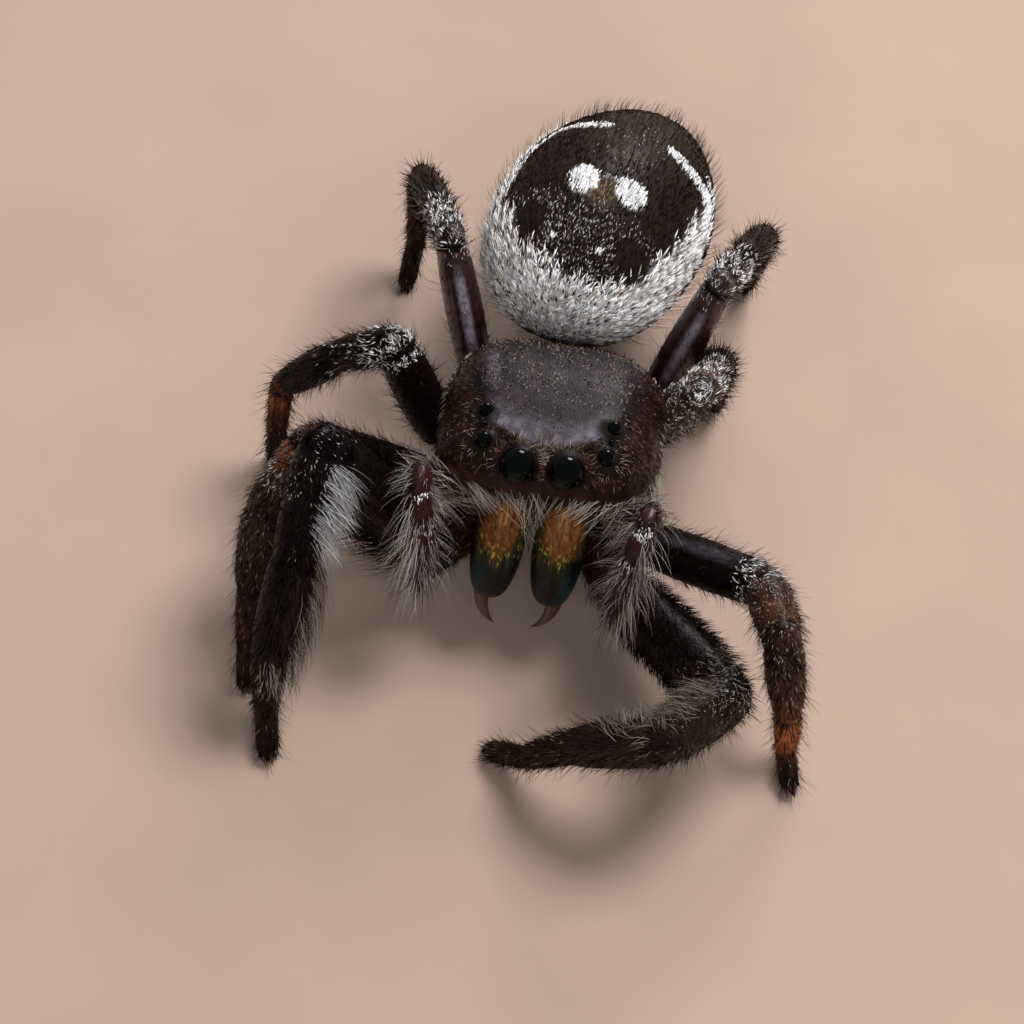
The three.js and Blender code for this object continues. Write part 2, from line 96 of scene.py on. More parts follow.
print("front body:", round(CARAPACE["back"] - CARAPACE["front"], 2), "mm long, eyes:", 2 * len(EYES))

# %% Sizes of the rear body
ABDOMEN_HALF = np.array([2.25, 3.4, 1.85])
ABDOMEN_MIDDLE = np.array([0.34, 5.55, 3.05])
ABDOMEN_TURN = 15
TAIL_DOWN = 8
TAPER = 0.28
WAIST = dict(middle=(0.0, 3.2, 2.35), half=(0.32, 0.8, 0.32))
SPINNERETS = [(0.16, 3.4, -0.2, 4), (0.2, 3.32, -0.5, 18)]  # across, along, up, droop
SPINNERET_HALF = (0.13, 0.34, 0.13)

# %% [markdown]
# A leg has six segments that show, from the coxa at the hip to the tarsus at the foot, and a feeler has
# four. Each limb could be posed with an armature, but this animal stands still, so two angles for each
# segment say the same in fewer words.

# %% Sizes and pose of the limbs
# Lengths and radii go from coxa to tarsus. Each pose lists turn and climb in degrees, forward being 0; a
# tarsus without a climb slants down to the floor.
LEG_PAIRS = [
    dict(
        name="leg1",
        hip=(0.75, -1.35),
        lengths=[1.7, 3.8, 2.1, 2.2, 1.4, 0.9],
        radii=[0.42, 0.72, 0.49, 0.52, 0.31, 0.27],
        right=[(48, -18), (79, 55), (8, -34), (14, -56), (2, -86), (-13, None)],
        left=[(40, -26), (40, 13), (-30, 19), (-102, -33), (-112, -50), (-122, None)],
    ),
    dict(
        name="leg2",
        hip=(0.95, -0.6),
        lengths=[1.3, 3.2, 1.7, 1.6, 1.1, 0.7],
        radii=[0.4, 0.52, 0.44, 0.42, 0.27, 0.25],
        right=[(76, -7), (65, 38), (45, -48), (2, -48), (-5, -48), (-10, None)],
        left=[(58, -30), (62, 17), (15, 18), (27, -63), (30, -82), (14, None)],
    ),
    dict(
        name="leg3",
        hip=(0.95, 0.3),
        lengths=[1.4, 2.9, 1.4, 1.6, 1.5, 0.85],
        radii=[0.4, 0.47, 0.4, 0.38, 0.26, 0.25],
        right=[(98, -3), (75, 71), (100, -36), (89, -45), (85, -86), (88, None)],
        left=[(145, -15), (50, 62), (168, -30), (176, -40), (180, -84), (180, None)],
    ),
    dict(
        name="leg4",
        hip=(0.75, 1.1),
        lengths=[1.45, 3.2, 1.5, 2.1, 1.85, 0.9],
        radii=[0.38, 0.37, 0.37, 0.4, 0.27, 0.25],
        right=[(137, -7), (143, 63), (162, -24), (161, -27), (10, -85), (10, None)],
        left=[(134, -3), (131, 64), (166, -27), (165, -29), (194, -70), (200, None)],
    ),
]
LEG_KINDS = ["coxa", "femur", "patella", "tibia", "metatarsus", "tarsus"]
SWELL = [0.02, 0.07, 0.03, 0.05, 0.0, 0.0]
HIP_HEIGHT = 0.8
SOLE_HEIGHT = 0.21
PALP = dict(
    base=(0.95, -1.95, 1.0),
    lengths=[1.9, 0.65, 0.6, 1.15],
    radii=[0.26, 0.28, 0.28, 0.3, 0.27],
    right=[(78, 44), (0, 5), (-28, -50), (-6, -58)],
    left=[(68, 44), (-6, 10), (-24, -52), (-22, -59)],
)
PALP_KINDS = ["palp_femur", "palp_patella", "palp_tibia", "palp_tarsus"]
print("longest leg:", max(round(sum(pair["lengths"]), 1) for pair in LEG_PAIRS), "mm")

# %% [markdown]
# ## Frames of reference
# A mark on the head or the tail is easiest to say in that part's own axes. These helpers go from there to
# the place where the part is held, and back. They take whole arrays of points, because the coat asks for
# hundreds of thousands.


# %% Turning and placing
def turned(axis, degrees):
    return np.array(Matrix.Rotation(math.radians(degrees), 3, axis))


FRONT_TURN = turned("X", -HEAD_UP)
REAR_TURN = turned("Z", -ABDOMEN_TURN) @ turned("X", -TAIL_DOWN)


def front_to_world(points):
    return (np.asarray(points) - TILT_POINT) @ FRONT_TURN.T + TILT_POINT + (0, 0, LIFT)


def world_to_front(points):
    return (points - TILT_POINT - (0, 0, LIFT)) @ FRONT_TURN + TILT_POINT


def rear_to_world(points):
    return np.asarray(points) @ REAR_TURN.T + ABDOMEN_MIDDLE


def world_to_rear(points):
    return (points - ABDOMEN_MIDDLE) @ REAR_TURN


def unit(vectors):
    return vectors / np.maximum(np.linalg.norm(vectors, axis=-1, keepdims=True), 1e-9)


def blend_step(low, high, value):
    t = np.clip((value - low) / (high - low), 0, 1)
    return t * t * (3 - 2 * t)


# %% [markdown]
# ## The limbs as a chain of segments
# Each leg is a chain that starts at the hip and is turned joint by joint. A segment keeps its axis and its
# upper side. The upper side is carried along from one segment to the next, so that the knee's outside
# stays the upper side however the leg is bent; fringes and pale knees are told by it.


# %% Chain of segments
@dataclass
class Segment:
    name: str
    kind: str
    limb: str
    start: np.ndarray
    way: np.ndarray
    upper: np.ndarray
    length: float
    near: float  # radius where it begins
    far: float  # radius where it ends
    swell: float


def heading(side, turn, climb):
    level = math.cos(math.radians(climb))
    turn = math.radians(turn)
    return np.array([side * math.sin(turn) * level, -math.cos(turn) * level, math.sin(math.radians(climb))])


def carried(upper, before, after):
    """The upper side after the axis has swung from one way to the next."""
    swing = Vector(before).rotation_difference(Vector(after))
    return np.array(swing @ Vector(upper))


def chain(limb, start, ways, lengths, radii, kinds, swells):
    segments = []
    upper = unit(np.array([0, 0, 1.0]) - ways[0][2] * ways[0])
    for i, (way, length, kind) in enumerate(zip(ways, lengths, kinds)):
        if i:
            upper = carried(upper, ways[i - 1], way)
        own = (start, way, upper, length, *radii[i], swells[i])
        segments.append(Segment(f"{limb}_{kind}", kind, limb, *own))
        start = start + way * length
    return segments


def leg_chain(pair, side_name):
    side = SIDES[side_name]
    start = front_to_world([side * pair["hip"][0], pair["hip"][1], HIP_HEIGHT])
    ways, place = [], start
    for (turn, climb), length in zip(pair[side_name], pair["lengths"]):
        if climb is None:
            drop = (SOLE_HEIGHT - place[2]) / length
            climb = math.degrees(math.asin(max(-1, min(1, drop))))
        ways.append(heading(side, turn, climb))
        place = place + ways[-1] * length
    own = pair["radii"]
    ends = [own[0], *[(a + b) / 2 for a, b in zip(own, own[1:])], own[-1]]
    radii = list(zip(ends, ends[1:]))
    return chain(f"{pair['name']}_{side_name}", start, ways, pair["lengths"], radii, LEG_KINDS, SWELL)


def palp_chain(side_name):
    side = SIDES[side_name]
    base = PALP["base"]
    start = front_to_world([side * base[0], base[1], base[2]])
    ways = [heading(side, turn, climb) for turn, climb in PALP[side_name]]
    radii = list(zip(PALP["radii"], PALP["radii"][1:]))
    return chain(f"palp_{side_name}", start, ways, PALP["lengths"], radii, PALP_KINDS, [0, 0.03, 0.03, 0.04])


LEGS = {f"{pair['name']}_{side}": leg_chain(pair, side) for side in SIDES for pair in LEG_PAIRS}
PALPS = {f"palp_{side}": palp_chain(side) for side in SIDES}
SEGMENTS = [segment for limb in (*LEGS.values(), *PALPS.values()) for segment in limb]
print("segments:", len(SEGMENTS))

# %% [markdown]
# ## Shapes of the skin
# The head shield and the tail are rounded boxes: a ball whose outline, side view and cross-section are
# each squared off a little. The same formula made the solids. The skin follows it at the coat's depth
# below, and flattens the crown of the head shield into the table with soft edges that these spiders have.


# %% Depth of the coat and the rounded box
COAT_DEPTH = dict(carapace=0.03, abdomen=0.07, leg=0.05, palp=0.06, jaw=0.02, belly=0.02)


def signed_power(value, power):
    return np.sign(value) * np.abs(value) ** power


def ends(s, power):
    """How far the outline still reaches out, from 1 in the middle to 0 at both ends."""
    return np.maximum(0, 1 - np.abs(s) ** power) ** (1 / power)


def rounded(ball, half, plan, side, section, width=1, top=1, bottom=1, lift=0):
    s = np.clip(ball[:, 1], -1, 1)
    radius = np.maximum(np.hypot(ball[:, 0], ball[:, 2]), 1e-6)
    across, upward = ball[:, 0] / radius, ball[:, 2] / radius
    rise = np.where(upward > 0, top, bottom)
    return np.column_stack(
        [
            half[0] * width * ends(s, plan) * signed_power(across, 2 / section),
            half[1] * s,
            lift + half[2] * rise * ends(s, side) * signed_power(upward, 2 / section),
        ]
    )


# %% The head shield
TABLE_FRONT = 0.955  # height of the flat table as a part of the full crown
TABLE_BACK = 0.93
TABLE_SOFTNESS = 0.035
SHIELD_MIDDLE = (CARAPACE["back"] + CARAPACE["front"]) / 2
SHIELD_HALF = (CARAPACE["back"] - CARAPACE["front"]) / 2


def carapace_profile(s):
    """What the shield's shape is made of at a part s of its half length, from -1 to 1."""
    y = SHIELD_MIDDLE + SHIELD_HALF * s
    rear = np.maximum(0, (y - CROWN_AT) / (CARAPACE["back"] - CROWN_AT))
    front = np.clip((CROWN_AT - y) / BROW_RUN, 0, 1)
    lift = CARAPACE["lip_rise"] * np.maximum(0, -s) ** 3
    height = CARAPACE["crown"] + (CARAPACE["brow"] - CARAPACE["crown"]) * front
    top = height * (1 - 0.55 * rear**2) - lift
    plan = np.where(s < 0, 4.5, 2.4)
    side = np.where(s < 0, 6.0, 2.6)
    section = 2.9 - 0.5 * np.maximum(0, s)
    return lift, top, plan, side, section, front


def carapace_shape(ball):
    s = np.clip(ball[:, 1], -1, 1)
    lift, top, plan, side, section, front = carapace_profile(s)
    depth = COAT_DEPTH["carapace"]
    half = (CARAPACE["half_width"] - depth, SHIELD_HALF - depth, 1)
    points = rounded(ball, half, plan, side, section, 1, top - depth, CARAPACE["belly"], lift)
    table = (TABLE_BACK + (TABLE_FRONT - TABLE_BACK) * front) * top * ends(s, side) + lift
    over = (points[:, 2] - table) / TABLE_SOFTNESS
    points[:, 2] -= TABLE_SOFTNESS * np.log1p(np.exp(np.clip(over, -30, 30)))
    return front_to_world(points + (0, SHIELD_MIDDLE, CARAPACE["rim"]))


# %% The tail
def abdomen_shape(ball):
    s = np.clip(ball[:, 1], -1, 1)
    slim = 1 - TAPER * np.maximum(0, s) ** 1.5
    end = np.where(s < 0, 2.5, 2.15)
    half = ABDOMEN_HALF - COAT_DEPTH["abdomen"]
    return rear_to_world(rounded(ball, half, end, end, 2.1, slim, slim, slim))


def plain_ball(half, middle):
    return lambda ball: front_to_world(ball * half + middle)


def spinneret_shape(middle, droop):
    return lambda ball: rear_to_world((ball * SPINNERET_HALF) @ turned("X", -droop).T + middle)


# %% [markdown]
# A limb segment is turned on a lathe. Its outline narrows just before each joint, where the real shell is
# only a soft fold, so that the joined skin shows a ring at every joint. The outline needs a few points
# only; the spin operator turns it.

# %% Outline of a limb segment
JOINT_FOLD = dict(coxa=0.1, femur=0.13, patella=0.12, tibia=0.12, metatarsus=0.08, tarsus=0.03)
FOLD_LENGTH = 0.13
OUTLINE_STEPS = 14
CAP_STEPS = 3
SPIN_STEPS = 20
MERGE_GAP = 1e-4


def radius_along(segment, t):
    """Radius of the solid at a part t of the segment's length."""
    return segment.near + (segment.far - segment.near) * t + segment.swell * 4 * t * (1 - t)


def depth_of(segment):
    return COAT_DEPTH["palp" if segment.kind.startswith("palp") else "leg"]


def outline_of(segment):
    depth = depth_of(segment)
    fold = JOINT_FOLD.get(segment.kind, 0.1)
    near, far = segment.near - depth, segment.far - depth
    quarter = [k / CAP_STEPS * math.pi / 2 for k in range(CAP_STEPS + 1)]
    points = [(near * math.sin(angle) * (1 - fold), -near * math.cos(angle)) for angle in quarter]
    for k in range(1, OUTLINE_STEPS):
        t = k / OUTLINE_STEPS
        along = t * segment.length
        gap = min(along, segment.length - along)
        waist = 1 - fold * math.exp(-((gap / FOLD_LENGTH) ** 2))
        points.append(((radius_along(segment, t) - depth) * waist, along))
    for angle in quarter:
        points.append((far * math.cos(angle) * (1 - fold), segment.length + far * math.sin(angle)))
    points[0] = (0, points[0][1])
    points[-1] = (0, points[-1][1])
    return points


# %% [markdown]
# The same few steps come back for every limb, fang and claw: spin an outline, put it in its place, and add
# it to what is there. They are helpers, so that each piece below is only its own shape.

# %% Spinning, placing and adding
def spun(outline, steps):
    """A part turned round the Z axis from an outline of radius and height."""
    part = bmesh.new()
    verts = [part.verts.new((radius, 0, height)) for radius, height in outline]
    edges = [part.edges.new(pair) for pair in zip(verts, verts[1:])]
    turn = dict(cent=(0, 0, 0), axis=(0, 0, 1), angle=2 * math.pi, steps=steps, use_merge=True)
    bmesh.ops.spin(part, geom=verts + edges, **turn)
    bmesh.ops.remove_doubles(part, verts=part.verts, dist=MERGE_GAP)
    return part


def placing(axes, start):
    """The matrix that turns X, Y and Z into the three axes and moves the origin to start."""
    matrix = Matrix.Identity(4)
    for row in range(3):
        for column in range(3):
            matrix[row][column] = axes[column][row]
        matrix[row][3] = start[row]
    return matrix


def mesh_from(part, name):
    mesh = bpy.data.meshes.new(name)
    part.to_mesh(mesh)
    part.free()
    return mesh


def add_to(body, part, matrix=None):
    if matrix is not None:
        bmesh.ops.transform(part, matrix=matrix, verts=part.verts)
    mesh = mesh_from(part, "part")
    body.from_mesh(mesh)
    bpy.data.meshes.remove(mesh)


def add_segment(body, segment):
    part = spun(outline_of(segment), SPIN_STEPS)
    bmesh.ops.recalc_face_normals(part, faces=part.faces)
    across = np.cross(segment.upper, segment.way)
    add_to(body, part, placing((segment.upper, -across, segment.way), segment.start))


def add_ball(body, shape, around=48, along=32):
    """A ball with its poles on the Y axis, pushed into shape, added to the body."""
    part = bmesh.new()
    poles = Matrix.Rotation(math.pi / 2, 4, "X")
    bmesh.ops.create_uvsphere(part, u_segments=around, v_segments=along, radius=1, matrix=poles)
    ball = np.array([v.co for v in part.verts])
    for vert, place in zip(part.verts, shape(ball)):
        vert.co = place
    bmesh.ops.recalc_face_normals(part, faces=part.faces)
    add_to(body, part)


# %% [markdown]
# ## One skin
# All flesh parts are put together and melted into a single closed skin with a voxel remesh, as clay lumps
# are smoothed into one figure. A union cut would keep hard seams; the remesh rounds each meeting into
# the small fold that real joints have. A light smoothing takes the voxel steps away.

# %% Put the parts together
SOCKET = dict(wider=1.06, behind=0.36)  # the raised collar round each eye, in eye radii
SKIN_VOXEL = 0.074
SMOOTHING_PASSES = 2
SOLE_FLAT = 0.03  # what is lower than this lies flat on the floor
HEAD_MIDDLE = (0, -0.6, 1.9)  # the eyes look straight away from here

body = bmesh.new()
add_ball(body, carapace_shape, 96, 64)
add_ball(body, abdomen_shape, 96, 64)
for part in (STERNUM, LIP):
    add_ball(body, plain_ball(np.array(part["half"]) - COAT_DEPTH["belly"], part["middle"]), 32, 20)
for side in SIDES.values():
    x, y, z = MAXILLA["middle"]
    half = np.array(MAXILLA["half"]) - COAT_DEPTH["belly"]
    add_ball(body, plain_ball(half, (side * x, y, z)), 24, 16)
    for radius, (x, y, z) in EYES.values():
        collar = radius * SOCKET["wider"]
        eye = np.array([side * x, y, z])
        middle = eye - unit(eye - HEAD_MIDDLE) * radius * SOCKET["behind"]
        add_ball(body, plain_ball((collar, collar, collar), middle), 24, 16)
    for across, along, up, droop in SPINNERETS:
        add_ball(body, spinneret_shape((side * across, along, up), droop), 16, 12)
add_ball(body, lambda ball: ball * WAIST["half"] + WAIST["middle"], 24, 16)
for segment in SEGMENTS:
    add_segment(body, segment)
print("faces before melting:", len(body.faces))

# %% [markdown]
# The remesh looks at the lumps only as a volume, so it doesn't matter that they overlap. Its voxels are
# smaller than the folds at the joints. Its faces are all of one even size, so they carry the painted
# colours well, and the coat can take its roots from them.

# %% Melt them into one skin
lumps = mesh_from(body, "lumps")
lump_object = bpy.data.objects.new("lumps", lumps)
bpy.context.scene.collection.objects.link(lump_object)
melt = lump_object.modifiers.new("melt", "REMESH")
melt.mode = "VOXEL"
melt.voxel_size = SKIN_VOXEL
bpy.context.view_layer.update()
melted = lump_object.evaluated_get(bpy.context.evaluated_depsgraph_get())
skin_mesh = bpy.data.meshes.new_from_object(melted)
bpy.data.objects.remove(lump_object)
bpy.data.meshes.remove(lumps)

smooth = bmesh.new()
smooth.from_mesh(skin_mesh)
every_way = dict(use_axis_x=True, use_axis_y=True, use_axis_z=True)
for _ in range(SMOOTHING_PASSES):
    bmesh.ops.smooth_vert(smooth, verts=smooth.verts, factor=0.5, **every_way)
for vert in smooth.verts:
    if vert.co.z < SOLE_FLAT:
        vert.co.z = 0.0
bmesh.ops.triangulate(smooth, faces=smooth.faces)
bmesh.ops.recalc_face_normals(smooth, faces=smooth.faces)
smooth.to_mesh(skin_mesh)
smooth.free()
skin_mesh.name = "skin"
print("skin triangles:", len(skin_mesh.polygons))

# %% [markdown]
# ## Where a point of the skin lies
# Marks, shades and hair all depend on the part under them. One function answers that for any number of
# points: which part is nearest, how far along and how far round it the point is. It is asked once for the
# skin's own points and once for the roots of the coat, so both carry the same markings.

# %% Distance to each part
BODY_PARTS = ["carapace", "abdomen", "belly", "spinnerets"]
PART_NAMES = [segment.name for segment in SEGMENTS] + BODY_PARTS
PART = {name: i for i, name in enumerate(PART_NAMES)}
BODY_FIRST = 0.8  # the body's own gaps count for less, so that it wins where a limb joins it


def segment_place(segment, points):
    """Part of the way along, angle from the upper side (positive to the front), and gap to its surface."""
    rel = points - segment.start
    t = np.clip(rel @ segment.way / segment.length, 0, 1)
    out = rel - np.outer(t * segment.length, segment.way)
    side = 1 if "left" in segment.limb else -1
    front = side * np.cross(segment.way, segment.upper)
    angle = np.degrees(np.arctan2(out @ front, out @ segment.upper))
    gap = np.linalg.norm(out, axis=1) - (radius_along(segment, t) - depth_of(segment))
    return t, angle, gap


def box_gap(x, z, width, height, section):
    inside = (np.abs(x / width) ** section + np.abs(z / height) ** section) ** (1 / section)
    return (inside - 1) * np.hypot(x, z)


def carapace_gap(points):
    q = world_to_front(points)
    s = np.clip((q[:, 1] - SHIELD_MIDDLE) / SHIELD_HALF, -0.999, 0.999)
    lift, top, plan, side, section, _ = carapace_profile(s)
    z = q[:, 2] - CARAPACE["rim"] - lift
    height = np.where(z > 0, top, CARAPACE["belly"] + 0.05) * np.maximum(ends(s, side), 0.05)
    width = CARAPACE["half_width"] * np.maximum(ends(s, plan), 0.05)
    beyond = np.maximum(0, np.abs(q[:, 1] - SHIELD_MIDDLE) - SHIELD_HALF)
    return np.abs(box_gap(q[:, 0], z, width, height, section)) + 2 * beyond


def abdomen_gap(points):
    q = world_to_rear(points)
    s = np.clip(q[:, 1] / ABDOMEN_HALF[1], -0.999, 0.999)
    slim = (1 - TAPER * np.maximum(0, s) ** 1.5) * np.maximum(ends(s, 2.3), 0.05)
    beyond = np.maximum(0, np.abs(q[:, 1]) - ABDOMEN_HALF[1])
    return np.abs(box_gap(q[:, 0], q[:, 2], ABDOMEN_HALF[0] * slim, ABDOMEN_HALF[2] * slim, 2.1)) + 2 * beyond


def ellipsoid_gap(local, half, middle):
    rel = (local - middle) / half
    size = np.linalg.norm(rel, axis=1)
    return (size - 1) * min(half)


# %% The nearest part
def locate(points):
    """Number of the nearest part of each point, part of the way along it, and angle round it."""
    nearest = np.full(len(points), 1e9)
    part = np.zeros(len(points), int)
    along = np.zeros(len(points))
    bearing = np.zeros(len(points))

    def claim(index, gap, t=None, angle=None):
        won = np.abs(gap) < nearest
        nearest[won] = np.abs(gap)[won]
        part[won] = index
        if t is not None:
            along[won] = t[won]
            bearing[won] = angle[won]

    for i, segment in enumerate(SEGMENTS):
        t, angle, gap = segment_place(segment, points)
        claim(i, gap, t, angle)
    local = world_to_front(points)
    belly = [ellipsoid_gap(local, one["half"], one["middle"]) for one in (STERNUM, LIP)]
    for side in SIDES.values():
        x, y, z = MAXILLA["middle"]
        belly.append(ellipsoid_gap(local, MAXILLA["half"], (side * x, y, z)))
    claim(PART["belly"], np.min(np.abs(belly), axis=0))
    claim(PART["carapace"], carapace_gap(points) * BODY_FIRST)
    claim(PART["abdomen"], abdomen_gap(points) * BODY_FIRST)
    tail = world_to_rear(points)
    claim(PART["spinnerets"], np.where((tail[:, 1] > 3.3) & (tail[:, 2] < 0.0), 0.0, 1e9))
    return part, along, bearing


# %% [markdown]
# ## Markings
# Each marking is a short formula in its own part's axes: white patches and stripes on the black tail, a
# pale scaled band round its front, a slate-coloured table on the head shield, foxy cheeks, and pale knees.
# A formula gives a strength from 0 to 1, which colours the skin and thins or whitens the scales above it.

# %% Colours
WHITE = np.array([0.77, 0.77, 0.79])
CREAM = np.array([0.62, 0.54, 0.42])
GOLD = np.array([0.42, 0.30, 0.15])
BLACK = np.array([0.013, 0.008, 0.006])
BROWN = np.array([0.050, 0.027, 0.017])
SLATE = np.array([0.0135, 0.0085, 0.0105])
# Painted sheen: the colour of the reflections painted on the table's edges and along the polished thighs.
PAINTED_SHEEN = np.array([0.100, 0.090, 0.112])
FOX = np.array([0.019, 0.0062, 0.0046])
MAROON = np.array([0.030, 0.007, 0.008])
RUST = np.array([0.050, 0.019, 0.011])
ORANGE = np.array([0.16, 0.052, 0.017])
INK = np.array([0.0042, 0.0020, 0.0020])


def mixed(first, second, strength):
    strength = np.asarray(strength)[..., None]
    return first * (1 - strength) + second * strength


def soft_noise(u, v, salt):
    """Smooth noise from 0 to 1 over a plane; its cells are one unit across."""
    i, j = np.floor(u), np.floor(v)
    du, dv = blend_step(0, 1, u - i), blend_step(0, 1, v - j)

    def at(a, b):
        return np.abs(np.sin(a * 127.1 + b * 311.7 + salt * 74.7) * 43758.5453) % 1

    low = at(i, j) * (1 - du) + at(i + 1, j) * du
    high = at(i, j + 1) * (1 - du) + at(i + 1, j + 1) * du
    return low * (1 - dv) + high * dv


def near_line(x, y, points, half_width):
    """1 on a line through the points, falling to 0 outside its width."""
    best = np.full(len(x), 1e9)
    for (ax, ay), (bx, by) in zip(points, points[1:]):
        dx, dy = bx - ax, by - ay
        t = np.clip(((x - ax) * dx + (y - ay) * dy) / (dx * dx + dy * dy), 0, 1)
        best = np.minimum(best, np.hypot(x - ax - t * dx, y - ay - t * dy))
    return blend_step(half_width * 1.3, half_width * 0.7, best)


# %% [markdown]
# The tail's marks are laid out as on a map: millimetres round its back and millimetres along it. The two
# big marks and the dots are ellipses, the stripes are bent lines, and the belt has a ragged upper edge, as
# scales never end in a clean line.

# %% Marks of the tail
ROUND_TO_MM = 0.035  # millimetres across the back for each degree round the tail
WHITE_PATCHES = [  # round in mm, along in mm, half width, half length, slant in degrees
    (-0.32, -1.08, 0.28, 0.40, 14),
    (0.66, -0.98, 0.30, 0.37, 38),
    (-0.44, -2.60, 0.055, 0.06, 0),
    (0.80, -2.52, 0.10, 0.05, 20),
    (-0.44, 2.85, 0.14, 0.15, -20),
    (0.66, 2.85, 0.14, 0.15, 20),
]
WHITE_STRIPES = [  # half width, then the points of the line
    (0.13, [(-0.62, 0.92), (-1.20, 0.80)]),
    (0.065, [(-1.20, 0.80), (-1.62, 0.66), (-2.05, -0.20), (-2.30, -1.25)]),
    (0.155, [(0.95, 0.88), (1.50, 0.71), (2.24, 0.70), (2.50, 0.20), (2.62, -0.45)]),
    (0.10, [(-2.35, 2.00), (-3.00, 1.70)]),
    (0.10, [(2.60, 2.00), (3.25, 1.70)]),
]


def tail_place(q):
    angle = np.degrees(np.arctan2(q[:, 0] / ABDOMEN_HALF[0], q[:, 2] / ABDOMEN_HALF[2]))
    return angle, q[:, 1] / ABDOMEN_HALF[1]


def unrolled(q):
    """Millimetres round the tail from the middle of its back, and along it."""
    return tail_place(q)[0] * ROUND_TO_MM, q[:, 1]


def tail_white(q):
    x, y = unrolled(q)
    white = np.zeros(len(q))
    for px, py, half_width, half_length, slant in WHITE_PATCHES:
        slant = math.radians(slant)
        u = (x - px) * math.cos(slant) + (y - py) * math.sin(slant)
        v = (y - py) * math.cos(slant) - (x - px) * math.sin(slant)
        white = np.maximum(white, blend_step(1.15, 0.85, np.hypot(u / half_width, v / half_length)))
    for half_width, stripe in WHITE_STRIPES:
        white = np.maximum(white, near_line(x, y, stripe, half_width))
    return white


def tail_bridge(q):
    """The thin grey line that joins the rear edges of the two big marks."""
    x, y = unrolled(q)
    return 0.7 * near_line(x, y, [(-0.12, -0.80), (0.16, -0.76), (0.46, -0.84)], 0.05)


def tail_band(q):
    """The pale belt round the front of the tail and back along its flanks."""
    ragged = 0.22 * (soft_noise(q[:, 0] * 4.5, q[:, 1] * 4.5, 3) - 0.5)
    top = 0.76 + ragged - 0.13 * np.clip(q[:, 0], -1.3, 1.3) * blend_step(-1.6, -2.6, q[:, 1])
    foot = -0.75 + 1.30 * blend_step(-3.0, 1.3, q[:, 1])
    belt = blend_step(top + 0.30, top - 0.06, q[:, 2]) * blend_step(foot - 0.15, foot + 0.15, q[:, 2])
    return belt * blend_step(1.5, 0.7, q[:, 1])


DARK_PATCHES = [(-1.02, -2.40, 0.42, 0.46), (1.28, -2.26, 0.40, 0.36)]  # across, along, half sizes


def tail_speckle(q):
    """Loose pale scales on the back just behind the belt, and on the dome further back."""
    angle = tail_place(q)[0]
    behind_belt = blend_step(-1.3, -2.2, q[:, 1]) * blend_step(80, 55, np.abs(angle - 8))
    for x, y, half_width, half_length in DARK_PATCHES:
        inside = np.hypot((q[:, 0] - x) / half_width, (q[:, 1] - y) / half_length)
        behind_belt = behind_belt * blend_step(0.85, 1.1, inside)
    dome = blend_step(1.1, 0.5, np.hypot(q[:, 0] - 0.3, (q[:, 1] - 0.5) / 1.2))
    return np.maximum(behind_belt, 0.14 * dome)


def tail_brown(q):
    """Where the black turns brown: a saddle between the two big marks, the dome, and the underside."""
    angle = tail_place(q)[0]
    saddle = blend_step(1.3, 0.5, np.hypot((q[:, 0] - 0.15) / 0.36, (q[:, 1] + 1.32) / 0.42))
    dome = 0.35 * blend_step(1.5, 0.5, np.hypot(q[:, 0] - 0.2, (q[:, 1] - 0.9) / 1.3))
    under = 0.8 * blend_step(100, 130, np.abs(angle))
    return np.maximum(np.maximum(saddle, dome), under)


# %% [markdown]
# The head shield has a bare table on top with a painted sheen along its edges, as if it were polished
# stone, and a painted shadow as a dark line where it drops to the foxy cheeks. The eyes stand in dark rings.

# %% Marks of the head shield
def table_edges(q):
    """Half width of the table at each point, and how far behind its front edge the point is."""
    half_width = np.clip(1.12 + (q[:, 1] + 1.7) * 0.26, 0.95, 1.62)
    return half_width, q[:, 1] + 2.08 - 0.36 * q[:, 0] ** 2


def table_mark(q):
    """1 on the flat slate-coloured table between the eyes and the back slope."""
    half_width, behind_edge = table_edges(q)
    on = blend_step(half_width + 0.03, half_width - 0.02, np.abs(q[:, 0]))
    on = on * blend_step(-0.02, 0.02, behind_edge)
    return on * blend_step(1.9, 0.9, q[:, 1]) * blend_step(2.0, 2.3, q[:, 2])


def painted_table_sheen(q):
    """Painted sheen: a lavender reflection on the table's front edge, front corners and right rear."""
    x, y = q[:, 0], q[:, 1]
    _, behind_edge = table_edges(q)
    strip = blend_step(0.0, 0.10, behind_edge) * blend_step(0.85, 0.15, behind_edge)
    strip = strip * blend_step(1.35, 1.1, np.abs(x))
    rear_corner = blend_step(0.20, 0.04, np.abs(x + 1.30 + 0.16 * y))
    rear_corner = 0.8 * rear_corner * blend_step(-0.9, -0.3, y) * blend_step(0.7, 0.2, y)
    painted_glint = 2.0 * blend_step(0.30, 0.05, np.hypot(np.abs(x) - 0.98, y + 1.60))
    grain = 0.25 + 0.75 * soft_noise(x * 13, y * 8, 4)
    return np.maximum(np.maximum(strip, rear_corner), painted_glint) * grain


def painted_table_edge_shadow(q):
    """Painted shadow: the dark line just outside the front and side edges of the table, under its edge."""
    half_width, behind_edge = table_edges(q)
    outside = np.maximum(np.abs(q[:, 0]) - half_width, -behind_edge)
    return blend_step(-0.01, 0.04, outside) * blend_step(0.30, 0.12, outside) * blend_step(0.6, -0.2, q[:, 1])


def side_stripe(q):
    """The row of pale hairs along the flank of the shield."""
    flank = blend_step(0.13, 0.03, np.abs(q[:, 2] - 2.16 - 0.05 * q[:, 1]))
    return flank * blend_step(-1.1, -0.6, q[:, 1]) * blend_step(1.6, 1.0, q[:, 1]) * (np.abs(q[:, 0]) > 1.2)


